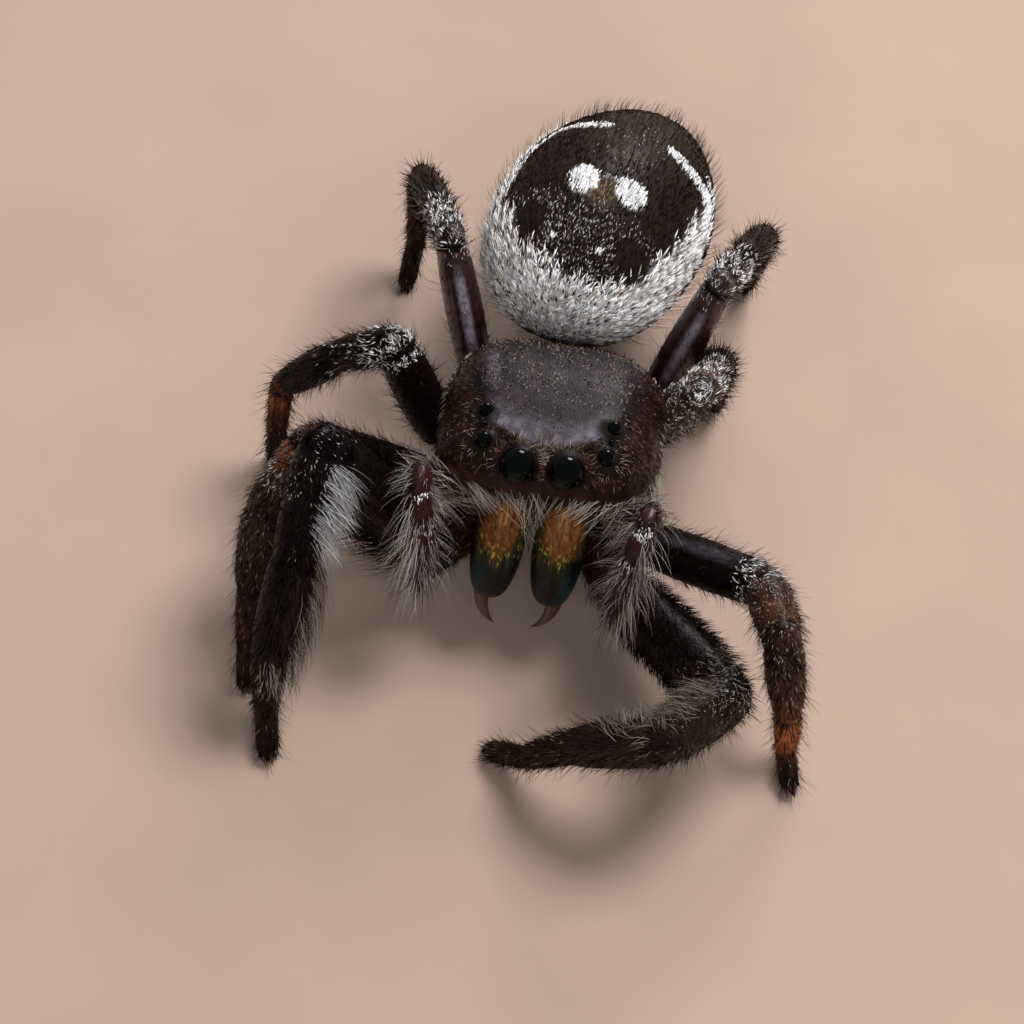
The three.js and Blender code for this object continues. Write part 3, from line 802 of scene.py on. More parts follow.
def eye_reach(q):
    """Distance from each point to the nearest eye, and the way from that eye's middle to the point."""
    gap = np.full(len(q), 9.0)
    way = np.zeros((len(q), 3))
    small = np.zeros(len(q), bool)
    for side in SIDES.values():
        for name, (radius, (x, y, z)) in EYES.items():
            away = q - (side * x, y, z)
            here = np.linalg.norm(away, axis=1) - radius
            nearer = here < gap
            gap[nearer] = here[nearer]
            way[nearer] = away[nearer]
            small[nearer] = name != "front_middle"
    return gap, way, small


# %% [markdown]
# Most segments are nearly black, but some turn orange or brown towards the foot. A table gives the shade
# of each kind of segment, and a second one names the segments that differ.

# %% Marks of the limbs
KIND_SHADE = {
    "coxa": FOX,
    "femur": INK,
    "patella": INK,
    "tibia": INK,
    "metatarsus": RUST,
    "tarsus": BROWN * 0.6,
    "palp_femur": MAROON * 0.3,
    "palp_patella": MAROON,
    "palp_tibia": MAROON,
    "palp_tarsus": MAROON,
}
OWN_SHADE = {  # the shade near the body, then the shade further out
    "leg2_right_patella": (ORANGE * 1.5, BROWN * 0.8),
    "leg2_right_tibia": (BROWN * 0.9, BROWN * 0.5),
    "leg2_left_patella": (BROWN * 0.9, RUST * 1.3),
    "leg2_left_tibia": (BROWN * 0.4, RUST * 1.2),
    "leg3_right_metatarsus": (ORANGE * 1.6, ORANGE * 0.4),
    "leg1_right_metatarsus": (RUST * 0.4, RUST * 0.4),
    "leg1_left_patella": (INK, BROWN * 0.35),
    "leg1_left_tibia": (BROWN * 0.4, BROWN * 0.3),
    "leg1_left_metatarsus": (RUST * 0.6, RUST * 0.6),
    "leg2_left_metatarsus": (ORANGE * 2.0, ORANGE * 1.7),
    "leg2_left_tarsus": (RUST * 1.4, BROWN * 0.35),
    "leg1_right_tarsus": (BROWN * 0.45, BROWN * 0.25),
    "leg3_left_femur": (INK, BROWN * 1.3),
    "leg3_left_patella": (BROWN * 1.3, BROWN * 0.9),
    "leg4_left_femur": (MAROON * 0.9, MAROON * 0.9),
    "leg4_right_femur": (MAROON * 0.8, MAROON * 0.8),
}
# Painted highlights: pale streaks along the polished thighs.
PAINTED_THIGH_HIGHLIGHT = {  # the streak's middle in degrees round from the upper side, and its strength
    "leg4_left_femur": (34, 0.6),
    "leg4_right_femur": (22, 0.8),
    "leg2_left_femur": (8, 0.12),
}


def painted_thigh_highlight(t, angle, middle):
    """Painted highlight: a pale streak along the polished thighs, where a lamp would reflect."""
    streak = blend_step(22, 5, np.abs(angle - middle))
    return streak * blend_step(0.12, 0.35, t) * blend_step(0.9, 0.7, t)


def knee_mark(kind, t, angle):
    """Where the pale scales of the knees grow: the upper side next to the two joints of the knee."""
    upper = blend_step(125, 85, np.abs(angle))
    if kind == "femur":
        return upper * blend_step(0.82, 0.95, t)
    if kind == "patella":
        return upper * blend_step(0.75, 0.35, t)
    if kind == "tibia":
        return 0.5 * upper * blend_step(0.25, 0.08, t)
    if kind in ("palp_patella", "palp_tibia"):
        return upper * blend_step(0.78, 0.92, t)
    return 0 * t


# %% [markdown]
# The skin could be painted by hand in a picture. Colours on its points do the same without an unwrap, and
# the same function can be asked for the colour at any hair's root. Joints are darkened a little, where
# the real shell is thin and folded.

# %% Colour and gloss at every point
def shade_at(points):
    """Colour of the bare shell, and its roughness and lacquer, at each point."""
    part, along, angle = locate(points)
    colour = np.tile(BROWN, (len(points), 1))
    rough = np.full(len(points), 0.5)
    lacquer = np.full(len(points), 0.15)
    for i, segment in enumerate(SEGMENTS):
        here = part == i
        near, far = OWN_SHADE.get(segment.name, (KIND_SHADE[segment.kind],) * 2)
        shade = mixed(np.tile(near, (here.sum(), 1)), far, blend_step(0.25, 0.6, along[here]))
        to_joint = np.minimum(along[here], 1 - along[here]) * segment.length
        shade = shade * (1 - 0.45 * np.exp(-((to_joint / 0.15) ** 2)))[:, None]
        # A painted highlight streak along this polished thigh.
        if segment.name in PAINTED_THIGH_HIGHLIGHT:
            middle, strength = PAINTED_THIGH_HIGHLIGHT[segment.name]
            shade = mixed(shade, PAINTED_SHEEN * 3, strength * painted_thigh_highlight(along[here], angle[here], middle))
        colour[here] = shade
        rough[here] = 0.42
        lacquer[here] = 0.30 if segment.kind.startswith("palp") else 0.07
        if segment.kind in ("tarsus", "metatarsus"):
            rough[here] = 0.65
            lacquer[here] = 0
        if segment.name.startswith("leg4") and segment.kind == "femur":
            rough[here] = 0.38
            lacquer[here] = 1.0
    q = world_to_front(points)
    here = part == PART["carapace"]
    table = table_mark(q[here])
    gap, _, small = eye_reach(q[here])
    shell = mixed(np.tile(FOX, (here.sum(), 1)), SLATE, table)
    u, v = q[here, 0] + 0.7 * q[here, 2], q[here, 1] - 0.7 * q[here, 2]
    blotch = soft_noise(u * 10, v * 10, 11) * soft_noise(u * 4, v * 4, 12)
    shell = shell * (0.35 + 2.6 * blotch[:, None])
    # Painted sheen on the table's edges.
    shell = mixed(shell, PAINTED_SHEEN * 1.2, table * painted_table_sheen(q[here]))
    # Painted shadow below the table's edges.
    shell = mixed(shell, INK * 0.5, 0.9 * painted_table_edge_shadow(q[here]))
    shell = mixed(shell, BLACK * 0.6, 0.9 * small * blend_step(0.26, 0.12, gap))
    colour[here] = mixed(shell, INK, 0.6 * ~small * blend_step(0.12, 0.02, gap))
    rough[here] = 0.5 - 0.06 * table
    lacquer[here] = 0.05
    here = part == PART["abdomen"]
    tail = world_to_rear(points[here])
    base = mixed(np.tile(BLACK, (here.sum(), 1)), BROWN, 0.7 * tail_brown(tail))
    base = mixed(base, WHITE, 0.60 * tail_band(tail) ** 2)
    base = mixed(base, WHITE, 0.35 * tail_bridge(tail))
    colour[here] = mixed(base, WHITE, 0.75 * tail_white(tail))
    rough[here] = 0.55
    lacquer[here] = 0.08
    return colour, rough, lacquer


# %% Paint the skin
def points_of(mesh):
    flat = np.empty(len(mesh.vertices) * 3, np.float32)
    mesh.vertices.foreach_get("co", flat)
    return flat.reshape(-1, 3).astype(float)


def paint(mesh, colour, rough=None, lacquer=None):
    """Puts a colour on every point of a mesh, and roughness and lacquer where its finish reads them."""
    tint = mesh.color_attributes.new("tint", "FLOAT_COLOR", "POINT")
    opaque = np.ones(len(mesh.vertices))
    tint.data.foreach_set("color", np.column_stack([colour, opaque]).astype(np.float32).ravel())
    for name, values in (("rough", rough), ("lacquer", lacquer)):
        if values is not None:
            layer = mesh.attributes.new(name, "FLOAT", "POINT")
            layer.data.foreach_set("value", np.asarray(values, np.float32))


skin_points = points_of(skin_mesh)
paint(skin_mesh, *shade_at(skin_points))
print("painted", len(skin_points), "points of skin")


# %% [markdown]
# ## Materials
# Two node groups are shared: one mottles a colour, one makes a fine relief. Each finish of the animal is a
# Principled shader of its own that reads the painted colour from the mesh, so that a pattern never slides
# over the form.

# %% Shared node groups
def new_group(name, inputs, output, kind):
    group = bpy.data.node_groups.new(name, "ShaderNodeTree")
    for label, socket_kind, default in inputs:
        socket = group.interface.new_socket(label, in_out="INPUT", socket_type=socket_kind)
        socket.default_value = default
    group.interface.new_socket(output, in_out="OUTPUT", socket_type=kind)
    return group, group.nodes.new("NodeGroupInput"), group.nodes.new("NodeGroupOutput")


def added(tree, kind, values=None, operation=None):
    """A new node with some of its inputs set, and its operation where it has one."""
    node = tree.nodes.new(kind)
    for socket, value in (values or {}).items():
        node.inputs[socket].default_value = value
    if operation:
        node.operation = operation
    return node


def mottle_group():
    inputs = [
        ("Color", "NodeSocketColor", (0.5, 0.5, 0.5, 1)),
        ("Scale", "NodeSocketFloat", 3000.0),
        ("Amount", "NodeSocketFloat", 0.4),
    ]
    group, entry, result = new_group("mottle", inputs, "Color", "NodeSocketColor")
    coords = added(group, "ShaderNodeTexCoord")
    noise = added(group, "ShaderNodeTexNoise", {"Detail": 5})
    spread = added(group, "ShaderNodeMapRange", {"From Min": 0.3, "From Max": 0.7})
    darkest = added(group, "ShaderNodeMath", {0: 1}, "SUBTRACT")
    lightest = added(group, "ShaderNodeMath", {0: 1}, "ADD")
    scale = added(group, "ShaderNodeVectorMath", operation="SCALE")
    link = group.links.new
    link(coords.outputs["Object"], noise.inputs["Vector"])
    link(entry.outputs["Scale"], noise.inputs["Scale"])
    link(noise.outputs["Fac"], spread.inputs["Value"])
    link(entry.outputs["Amount"], darkest.inputs[1])
    link(entry.outputs["Amount"], lightest.inputs[1])
    link(darkest.outputs[0], spread.inputs["To Min"])
    link(lightest.outputs[0], spread.inputs["To Max"])
    link(entry.outputs["Color"], scale.inputs[0])
    link(spread.outputs["Result"], scale.inputs["Scale"])
    link(scale.outputs["Vector"], result.inputs["Color"])
    return group


def relief_group():
    inputs = [("Scale", "NodeSocketFloat", 8000.0)]
    group, entry, result = new_group("fine relief", inputs, "Height", "NodeSocketFloat")
    coords = added(group, "ShaderNodeTexCoord")
    pores = added(group, "ShaderNodeTexVoronoi")
    ripple = added(group, "ShaderNodeTexNoise", {"Detail": 4})
    total = added(group, "ShaderNodeMath", operation="ADD")
    link = group.links.new
    for texture in (pores, ripple):
        link(coords.outputs["Object"], texture.inputs["Vector"])
        link(entry.outputs["Scale"], texture.inputs["Scale"])
    link(pores.outputs["Distance"], total.inputs[0])
    link(ripple.outputs["Fac"], total.inputs[1])
    link(total.outputs[0], result.inputs["Height"])
    return group


MOTTLE = mottle_group()
RELIEF = relief_group()


# %% A finish that reads the painted colour
def principled(name):
    material = bpy.data.materials.new(name)
    material.use_nodes = True
    return material, material.node_tree, material.node_tree.nodes["Principled BSDF"]


def attribute(tree, name):
    node = tree.nodes.new("ShaderNodeAttribute")
    node.attribute_name = name
    return node


def add_mottle(tree, shader, scale, amount):
    mottle = added(tree, "ShaderNodeGroup")
    mottle.node_tree = MOTTLE
    mottle.inputs["Scale"].default_value = scale
    mottle.inputs["Amount"].default_value = amount
    tree.links.new(mottle.outputs["Color"], shader.inputs["Base Color"])
    return mottle.inputs["Color"]


def add_relief(tree, shader, scale, strength, depth):
    height = added(tree, "ShaderNodeGroup")
    height.node_tree = RELIEF
    height.inputs["Scale"].default_value = scale
    bump = added(tree, "ShaderNodeBump", {"Strength": strength, "Distance": depth})
    tree.links.new(height.outputs["Height"], bump.inputs["Height"])
    tree.links.new(bump.outputs["Normal"], shader.inputs["Normal"])


def painted_finish(name, mottle, relief, constants):
    """A material whose colour comes from the mesh.

    Mottle is its scale and amount, relief its scale, strength and depth, and constants are set on the
    shader's own sockets.
    """
    material, tree, shader = principled(name)
    colour = add_mottle(tree, shader, *mottle)
    tree.links.new(attribute(tree, "tint").outputs["Color"], colour)
    if relief:
        add_relief(tree, shader, *relief)
    for socket, value in constants.items():
        shader.inputs[socket].default_value = value
    return material, tree, shader


# %% The finishes
def skin_finish():
    constants = {"Coat Roughness": 0.22, "Specular IOR Level": 0.20, "Specular Tint": (1, 0.92, 0.97, 1)}
    material, tree, shader = painted_finish("spider skin", (5200, 0.5), (26000, 0.6, 0.000008), constants)
    tree.links.new(attribute(tree, "rough").outputs["Fac"], shader.inputs["Roughness"])
    tree.links.new(attribute(tree, "lacquer").outputs["Fac"], shader.inputs["Coat Weight"])
    return material


def hair_finish():
    constants = {"Specular IOR Level": 0.01}
    material, tree, shader = painted_finish("scales and bristles", (1500, 0.15), None, constants)
    tree.links.new(attribute(tree, "rough").outputs["Fac"], shader.inputs["Roughness"])
    return material


def jaw_finish():
    constants = {"Metallic": 0.55, "Roughness": 0.36, "Coat Weight": 0.08, "Coat Roughness": 0.2}
    return painted_finish("jaw lacquer", (14000, 0.35), (16000, 0.6, 0.000012), constants)[0]


def horn_finish():
    constants = {"Roughness": 0.2, "Coat Weight": 0.5, "Coat Roughness": 0.08}
    return painted_finish("claw horn", (3500, 0.25), (9000, 0.2, 0.00001), constants)[0]


def eye_finish():
    constants = {"Roughness": 0.05, "IOR": 1.28, "Specular Tint": (0.8, 1, 0.98, 1)}
    return painted_finish("wet eye", (900, 0.5), None, constants)[0]


SKIN_FINISH = skin_finish()
HAIR_FINISH = hair_finish()
JAW_FINISH = jaw_finish()
HORN_FINISH = horn_finish()
EYE_FINISH = eye_finish()


# %% Hand a mesh over as a finished piece
def hand_over(name, mesh, material, nodes=()):
    """Moves a mesh from millimetres to the model's own place in metres and makes it a piece."""
    points = (points_of(mesh) - CENTRE) * MM
    mesh.vertices.foreach_set("co", points.astype(np.float32).ravel())
    mesh.polygons.foreach_set("use_smooth", np.ones(len(mesh.polygons), bool))
    mesh.materials.clear()
    mesh.materials.append(material)
    mesh.update()
    piece = bpy.data.objects.new(name, mesh)
    bpy.context.scene.collection.objects.link(piece)
    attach(piece, "root")
    if nodes:
        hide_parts(*nodes)
    return piece


# %% [markdown]
# ## Eyes, jaws and fangs
# These stay apart from the skin, because they are glassy or polished. An eye is a wet ball that stands out
# of its collar by a little less than half. A jaw is a rounded box, copper above and green below; a fang is
# a cone bent into an arc.

# %% Eyes
EYE_DARK = np.array([0.0006, 0.0008, 0.0009])


def ball_mesh(name, shape, around, along):
    part = bmesh.new()
    add_ball(part, shape, around, along)
    return mesh_from(part, name)


def paint_even(mesh, colour):
    paint(mesh, np.tile(colour, (len(mesh.vertices), 1)))


for side_name, side in SIDES.items():
    for eye_name, (radius, (x, y, z)) in EYES.items():
        eyeball = plain_ball(np.full(3, radius), (side * x, y, z))
        mesh = ball_mesh(f"cornea_{eye_name}_{side_name}", eyeball, 48, 32)
        paint_even(mesh, EYE_DARK)
        hand_over(mesh.name, mesh, EYE_FINISH, [f"eye_{eye_name}_{side_name}"])
print("eyes:", 2 * len(EYES))

# %% [markdown]
# The jaws of this spider shine like beetle shell: copper on top, then gold spangles, then nearly black
# with a teal gleam. A film of colour as on a soap bubble would be closer to the cause, but painted colour
# under a metallic shine looks the same here and survives the export.

# %% Jaws
COPPER = np.array([0.17, 0.050, 0.012])
# Painted highlight: the colour of the shine and glints painted on the copper.
PAINTED_COPPER_HIGHLIGHT = np.array([0.60, 0.30, 0.09])
GOLD_EDGE = np.array([0.42, 0.36, 0.07])
GREEN = np.array([0.022, 0.026, 0.008])
TEAL = np.array([0.003, 0.026, 0.030])
JAW_BLACK = np.array([0.0045, 0.004, 0.005])
JAW_BROWN = np.array([0.022, 0.010, 0.007])


def jaw_place(side):
    """How a jaw is turned in the head's axes, and where its top is."""
    tilt = turned("X", -CHELICERA["forward"]) @ turned("Y", CHELICERA["swing"] - side * CHELICERA["splay"])
    x, y, z = CHELICERA["top"]
    return tilt, (side * x, y, z)


def jaw_to_world(points, side):
    tilt, top = jaw_place(side)
    return front_to_world(points @ tilt.T + top)


def world_to_jaw(points, side):
    tilt, top = jaw_place(side)
    return (world_to_front(points) - top) @ tilt


def jaw_shape(side):
    def shape(ball):
        s = np.clip(ball[:, 1], -1, 1)
        slim = 1 - 0.16 * np.maximum(0, s)
        half = np.array([CHELICERA["half_width"], CHELICERA["length"] / 2, CHELICERA["half_depth"]])
        points = rounded(ball, half - COAT_DEPTH["jaw"], 3, 3, 2.2, slim, 1, slim)
        hung = points @ turned("X", -90).T
        return jaw_to_world(hung - (0, 0, CHELICERA["length"] / 2), side)

    return shape


def jaw_shade(points, side):
    """Streaky copper high on the front with painted highlights, a spangled gold edge, black below with a teal
    gleam.
    """
    q = world_to_jaw(points, side)
    down = -q[:, 2] / CHELICERA["length"]
    across = side * q[:, 0] / CHELICERA["half_width"]
    broad = soft_noise(across * 6 + 9, down * 5, side + 2)
    fine = soft_noise(across * 22 + 40, down * 14, side + 3)
    spangle = blend_step(0.68, 0.84, soft_noise(across * 22 + 70, down * 42, side + 5))
    edge = down + 0.20 * across**2 + 0.22 * (broad - 0.5) + 0.08 * (fine - 0.5)
    teal_gleam = blend_step(0.1, 0.5, across) * blend_step(0.55, 0.75, down)
    colour = mixed(np.tile(JAW_BLACK, (len(points), 1)), TEAL, teal_gleam)
    colour = mixed(colour, GREEN, blend_step(0.78, 0.52, edge))
    flank = blend_step(0.92, 0.42, np.abs(across - 0.04))
    copper = COPPER * (0.25 + 1.3 * broad + 0.7 * fine)[:, None]
    # A painted highlight in the upper middle of the copper, and painted glints that are strongest there.
    shine = blend_step(0.32, 0.05, np.abs(across + 0.02)) * blend_step(0.40, 0.12, down)
    painted_glint = blend_step(0.55, 0.85, soft_noise(across * 30, down * 17, side + 7))
    copper = mixed(copper, PAINTED_COPPER_HIGHLIGHT, np.maximum(0.6 * shine * fine, (0.2 + 0.7 * shine) * painted_glint))
    colour = mixed(colour, copper, blend_step(0.60, 0.40, edge) * flank)
    rim = blend_step(0.13, 0.03, np.abs(edge - 0.50)) * flank
    inner_side = blend_step(-0.45, -0.7, across) * blend_step(0.62, 0.5, down)
    colour = mixed(colour, GOLD_EDGE, np.maximum(rim, 0.8 * inner_side) * spangle)
    behind = blend_step(-0.05, 0.25, q[:, 1])
    return mixed(colour, JAW_BROWN, behind)


for side_name, side in SIDES.items():
    mesh = ball_mesh(f"jaw_{side_name}", jaw_shape(side), 200, 120)
    paint(mesh, jaw_shade(points_of(mesh), side))
    hand_over(mesh.name, mesh, JAW_FINISH, [f"chelicera_{side_name}"])
    print(mesh.name, "painted at", len(mesh.vertices), "points")

# %% [markdown]
# The fangs are drawn in horn, one at the foot of each jaw, with the tip turned inwards. A cone on a curve
# would do, but a spun outline that is bent point by point keeps its tip sharp and its foot closed.

# %% Fangs
HORN = np.array([0.05, 0.018, 0.010])


def bent_cone(length, radius, curl, steps=16, around=16):
    """A slightly bulging cone up the Z axis, bent towards +X by curl degrees."""
    outline = [(radius * (1 - (k / steps) ** 1.4), length * k / steps) for k in range(steps)]
    cone = spun([(0, 0), *outline, (0, length)], around)
    arc = length / math.radians(curl)
    for vert in cone.verts:
        angle = vert.co.z / arc
        reach = arc - vert.co.x
        vert.co.x, vert.co.z = arc - reach * math.cos(angle), reach * math.sin(angle)
    bmesh.ops.recalc_face_normals(cone, faces=cone.faces)
    return cone


for side_name, side in SIDES.items():
    cone = bent_cone(FANG["length"], FANG["radius"], FANG["curl"])
    inward = math.radians(FANG["inward"])
    bend = np.array([-side * math.sin(inward), math.cos(inward), 0])
    down = np.array([0, 0, -1.0])
    axes = np.column_stack([bend, np.cross(down, bend), down])
    local = np.array([v.co for v in cone.verts]) @ axes.T
    x, y, z = FANG["place"]
    for vert, place in zip(cone.verts, jaw_to_world(local + (side * x, y, z), side)):
        vert.co = place
    mesh = mesh_from(cone, f"fang_tooth_{side_name}")
    paint_even(mesh, HORN)
    hand_over(mesh.name, mesh, HORN_FINISH, [f"fang_{side_name}"])
    print(mesh.name, "faces:", len(mesh.polygons))

# %% [markdown]
# ## Claws
# Each foot ends in two small hooked claws above a brush of hair. They are far smaller than the solids
# could show, so they are pieces of the visual only.

# %% Claws
# Raised is how far above the foot's axis a claw stands, clear how far above the floor it stays at least.
CLAW = dict(length=0.24, radius=0.035, curl=80, apart=0.07, raised=0.06, clear=0.004)

claws = bmesh.new()
for limb in LEGS.values():
    tarsus = limb[-1]
    across = np.cross(tarsus.upper, tarsus.way)
    tip = tarsus.start + tarsus.way * (tarsus.length + tarsus.far * 0.5) + tarsus.upper * CLAW["raised"]
    for sign in (-1, 1):
        claw = bent_cone(CLAW["length"], CLAW["radius"], CLAW["curl"], 6, 8)
        place = placing((-tarsus.upper, across, tarsus.way), tip + sign * CLAW["apart"] * across)
        bmesh.ops.transform(claw, matrix=place, verts=claw.verts)
        for vert in claw.verts:
            vert.co.z = max(vert.co.z, CLAW["clear"])
        bmesh.ops.recalc_face_normals(claw, faces=claw.faces)
        add_to(claws, claw)
claw_mesh = mesh_from(claws, "claws")
paint_even(claw_mesh, HORN)
hand_over("claws", claw_mesh, HORN_FINISH)
print("claws:", 2 * len(LEGS))

# %% [markdown]
# ## The coat
# The coat is real mesh: every scale and bristle is a three-sided blade with a closed foot and a pointed
# tip. Roots are drawn at random over the skin, as many per square millimetre as the densest fur needs.
# Each kind of hair then takes its share of them, so that kinds never grow out of each other.

# %% Draw the roots
POOL_DENSITY = 820  # roots for each square millimetre
SUNK = 0.015

rng = np.random.default_rng(7)
corners = np.empty(len(skin_mesh.polygons) * 3, np.int32)
skin_mesh.polygons.foreach_get("vertices", corners)
corners = corners.reshape(-1, 3)
triangles = skin_points[corners]
normals = np.cross(triangles[:, 1] - triangles[:, 0], triangles[:, 2] - triangles[:, 0])
areas = np.linalg.norm(normals, axis=1) / 2
vertex_normals = np.zeros_like(skin_points)
for k in range(3):
    np.add.at(vertex_normals, corners[:, k], normals)
vertex_normals = unit(vertex_normals)

count = int(areas.sum() * POOL_DENSITY)
face = rng.choice(len(areas), count, p=areas / areas.sum())
weights = rng.dirichlet((1, 1, 1), count)[:, :, None]
root = (triangles[face] * weights).sum(axis=1)
normal = unit((vertex_normals[corners[face]] * weights).sum(axis=1))
dice = rng.random(count)
taken = np.zeros(count)
print("skin area:", round(float(areas.sum())), "mm2, roots:", count)

# %% Where each root stands
part, along, angle = locate(root)
front = world_to_front(root)
rear = world_to_rear(root)
tail_angle, tail_s = tail_place(rear)
limb_way = np.array([segment.way for segment in SEGMENTS] + [(0, 1.0, 0)] * len(BODY_PARTS))[part]
kind = np.array([segment.kind for segment in SEGMENTS] + BODY_PARTS)[part]
name = np.array(PART_NAMES)[part]
shell_colour = shade_at(root)[0]
to_eye, from_eye, by_small_eye = eye_reach(front)
under_sole = (normal[:, 2] < -0.8) & (root[:, 2] < 0.06)
bald = (to_eye < 0.02) | under_sole
is_carapace = kind == "carapace"
is_tail = kind == "abdomen"
is_leg = np.isin(kind, LEG_KINDS)
is_palp = np.isin(kind, PALP_KINDS)
behind_waist = is_tail | (kind == "spinnerets")
print("bald roots:", int(bald.sum()))

# %% [markdown]
# ## The lie of the coat
# Hair lies back along the tail, out along each limb, and fans away from the eyes on the face. The lie is
# worked out once for every root; a kind of hair only adds how far it stands up and how much it strays.


# %% The lie at each root
def lying():
    lie = limb_way.copy()
    from_waist = rear - (0, -3.0, -1.6)
    tail_lie = (unit(from_waist) + (0, 0.35, 0)) @ REAR_TURN.T
    lie[behind_waist] = tail_lie[behind_waist]
    flat = table_mark(front)
    backward = np.column_stack([0.15 * np.sign(front[:, 0]), np.ones(count), 0 * flat])
    down_cheek = np.column_stack([0.1 * front[:, 0], -0.8 + 0.5 * (front[:, 1] + 2), -0.6 + 0 * flat])
    shield = mixed(down_cheek, backward, np.maximum(flat, front[:, 1] > 0.9))
    fan = blend_step(0.30, 0.10, to_eye)
    shield = mixed(unit(shield), unit(from_eye) * (1, 1, 0.8), fan)
    lie[is_carapace] = (shield @ FRONT_TURN.T)[is_carapace]
    lie -= normal * (lie * normal).sum(axis=1, keepdims=True)
    return unit(lie + 1e-6)


lie = lying()
print("lie worked out for", len(lie), "roots")


# %% [markdown]
# Wisps are made by straying together: roots that share a small cell of the skin stray by the same random
# amount, and each hair adds a little of its own.

# %% Shared straying
WISP = 0.16  # millimetres across one wisp


def wisp_noise(size, salt):
    """A number from -0.5 to 0.5 that is the same for all roots of one small cell."""
    cell = np.floor(root / size).astype(np.int64)
    mixed_up = (cell[:, 0] * 73856093) ^ (cell[:, 1] * 19349663) ^ (cell[:, 2] * 83492791)
    mixed_up = mixed_up ^ (salt * 2654435761)
    return (mixed_up % 10007) / 10007 - 0.5


wisp_middle = (np.floor(root / WISP) + 0.5) * WISP
wisp_turn = wisp_noise(WISP, 1)
wisp_lift = wisp_noise(WISP, 2)
fine_turn = rng.normal(0, 1, count)
fine_lift = rng.normal(0, 1, count)
vary = rng.random((count, 3))

# %% One kind of hair
WISP_TURN = 55  # degrees that a whole wisp may turn aside
WISP_LIFT = 40
grown = []


def grow(where, density, length, width, stand, colour, flat=0.35, stray=12, curl=0.15,
         rings=2, wisps=0, droop=0.0, way=None, rough=0.45):
    """Takes roots at the density in hairs per mm2, weighted by where (0 to 1), and gives them a shape.

    Length and width are in millimetres, stand and stray in degrees from the skin and from the lie. Curl
    bends the hair back to the skin, droop bends it down, wisps gathers neighbours, and way replaces the
    lie. Colour is one colour or one for each root; flat is the blade's thickness; rings are its joints.
    """
    global taken
    share = np.where(bald, 0, np.clip(where, 0, 1)) * density / POOL_DENSITY
    chosen = np.flatnonzero((dice >= taken) & (dice < taken + share))
    taken = taken + share
    if not len(chosen):
        return
    along_skin = lie[chosen] if way is None else way[chosen]
    turn = np.radians(stray * fine_turn[chosen] + wisps * WISP_TURN * wisp_turn[chosen])[:, None]
    lift = stand + 0.4 * stray * fine_lift[chosen] + wisps * WISP_LIFT * wisp_lift[chosen]
    lift = np.radians(lift)[:, None]
    flat_way = along_skin * np.cos(turn) + np.cross(normal[chosen], along_skin) * np.sin(turn)
    reach = length * (0.7 + 0.6 * vary[chosen, 0])
    gathered = wisps * 2.0 * (wisp_middle - root)[chosen] / reach[:, None]
    arc = curl * np.sin(lift)
    tint = colour[chosen] if np.ndim(colour) == 2 else np.tile(colour, (len(chosen), 1))
    grown.append(
        dict(
            root=root[chosen] - normal[chosen] * SUNK,
            way=unit(flat_way * np.cos(lift) + normal[chosen] * np.sin(np.maximum(lift, 0.03))),
            normal=normal[chosen],
            bend=gathered + (along_skin - 1.5 * normal[chosen]) * arc + np.array([0, 0, -droop]),
            length=reach,
            width=width * (0.75 + 0.5 * vary[chosen, 1]) / 2,
            flat=flat,
            colour=tint * (0.7 + 0.6 * vary[chosen, 2:3]),
            rough=rough,
            rings=rings,
            chosen=chosen,
        )
    )


def sprinkled(first, second, share):
    """The second colour on a share of the roots, the first on the others."""
    pick = rng.random(count) < share
    return np.where(pick[:, None], second, first)


def hairs_so_far():
    return sum(len(one["chosen"]) for one in grown)


# %% [markdown]
# ## Hair of the tail
# Short leaf-shaped scales, white on the marks and the front band and black elsewhere, with thin upright
# bristles between them that show against the light.

# %% Grow the tail
white_here = tail_white(rear) * is_tail
band_here = tail_band(rear) * is_tail * (1 - white_here)
speckle_here = tail_speckle(rear) * is_tail * (1 - white_here) * (1 - band_here)
dark_here = is_tail * (1 - white_here) * (1 - 0.7 * band_here)
saddle_colour = mixed(np.tile(BLACK * 1.1, (count, 1)), GOLD * 0.60, tail_brown(rear) ** 1.5)
clump = soft_noise(rear[:, 0] * 7, rear[:, 1] * 7 + rear[:, 2] * 5, 6)
thinned = 0.55 + 0.45 * blend_step(0.30, 0.55, clump)
belt_colour = sprinkled(WHITE * 1.3, CREAM * 0.95, 0.14)
grow(white_here, 640, 0.125, 0.052, 12, WHITE * 1.2, flat=0.3, stray=12, rough=0.6)
grow(band_here * thinned, 470, 0.20, 0.034, 17, belt_colour, flat=0.4, stray=14, wisps=0.5, rough=0.7)
grow(is_tail * tail_bridge(rear), 400, 0.11, 0.030, 12, WHITE * 0.8, stray=16)
grow(speckle_here, 520, 0.10, 0.022, 14, sprinkled(CREAM * 0.24 + 0.02, WHITE * 0.7, 0.42), stray=28)
grow(dark_here, 230, 0.17, 0.034, 10, saddle_colour, stray=10, rough=0.6)
grow(is_tail, 30, 0.50, 0.011, 54, sprinkled(INK, BROWN, 0.3), stray=14, curl=0.2, rings=4)
grow(band_here, 20, 0.36, 0.010, 42, CREAM, stray=16, rings=4)
grow(kind == "spinnerets", 120, 0.2, 0.02, 16, INK * 1.5)
print("hairs of the tail:", hairs_so_far())

# %% [markdown]
# ## Hair of the head
# The table between the eyes is nearly bare, with a dust of small scales, pale and dark. The cheeks are
# foxy, the eyes have lashes that fan away from them, and a few paler hairs stand between the front ones.

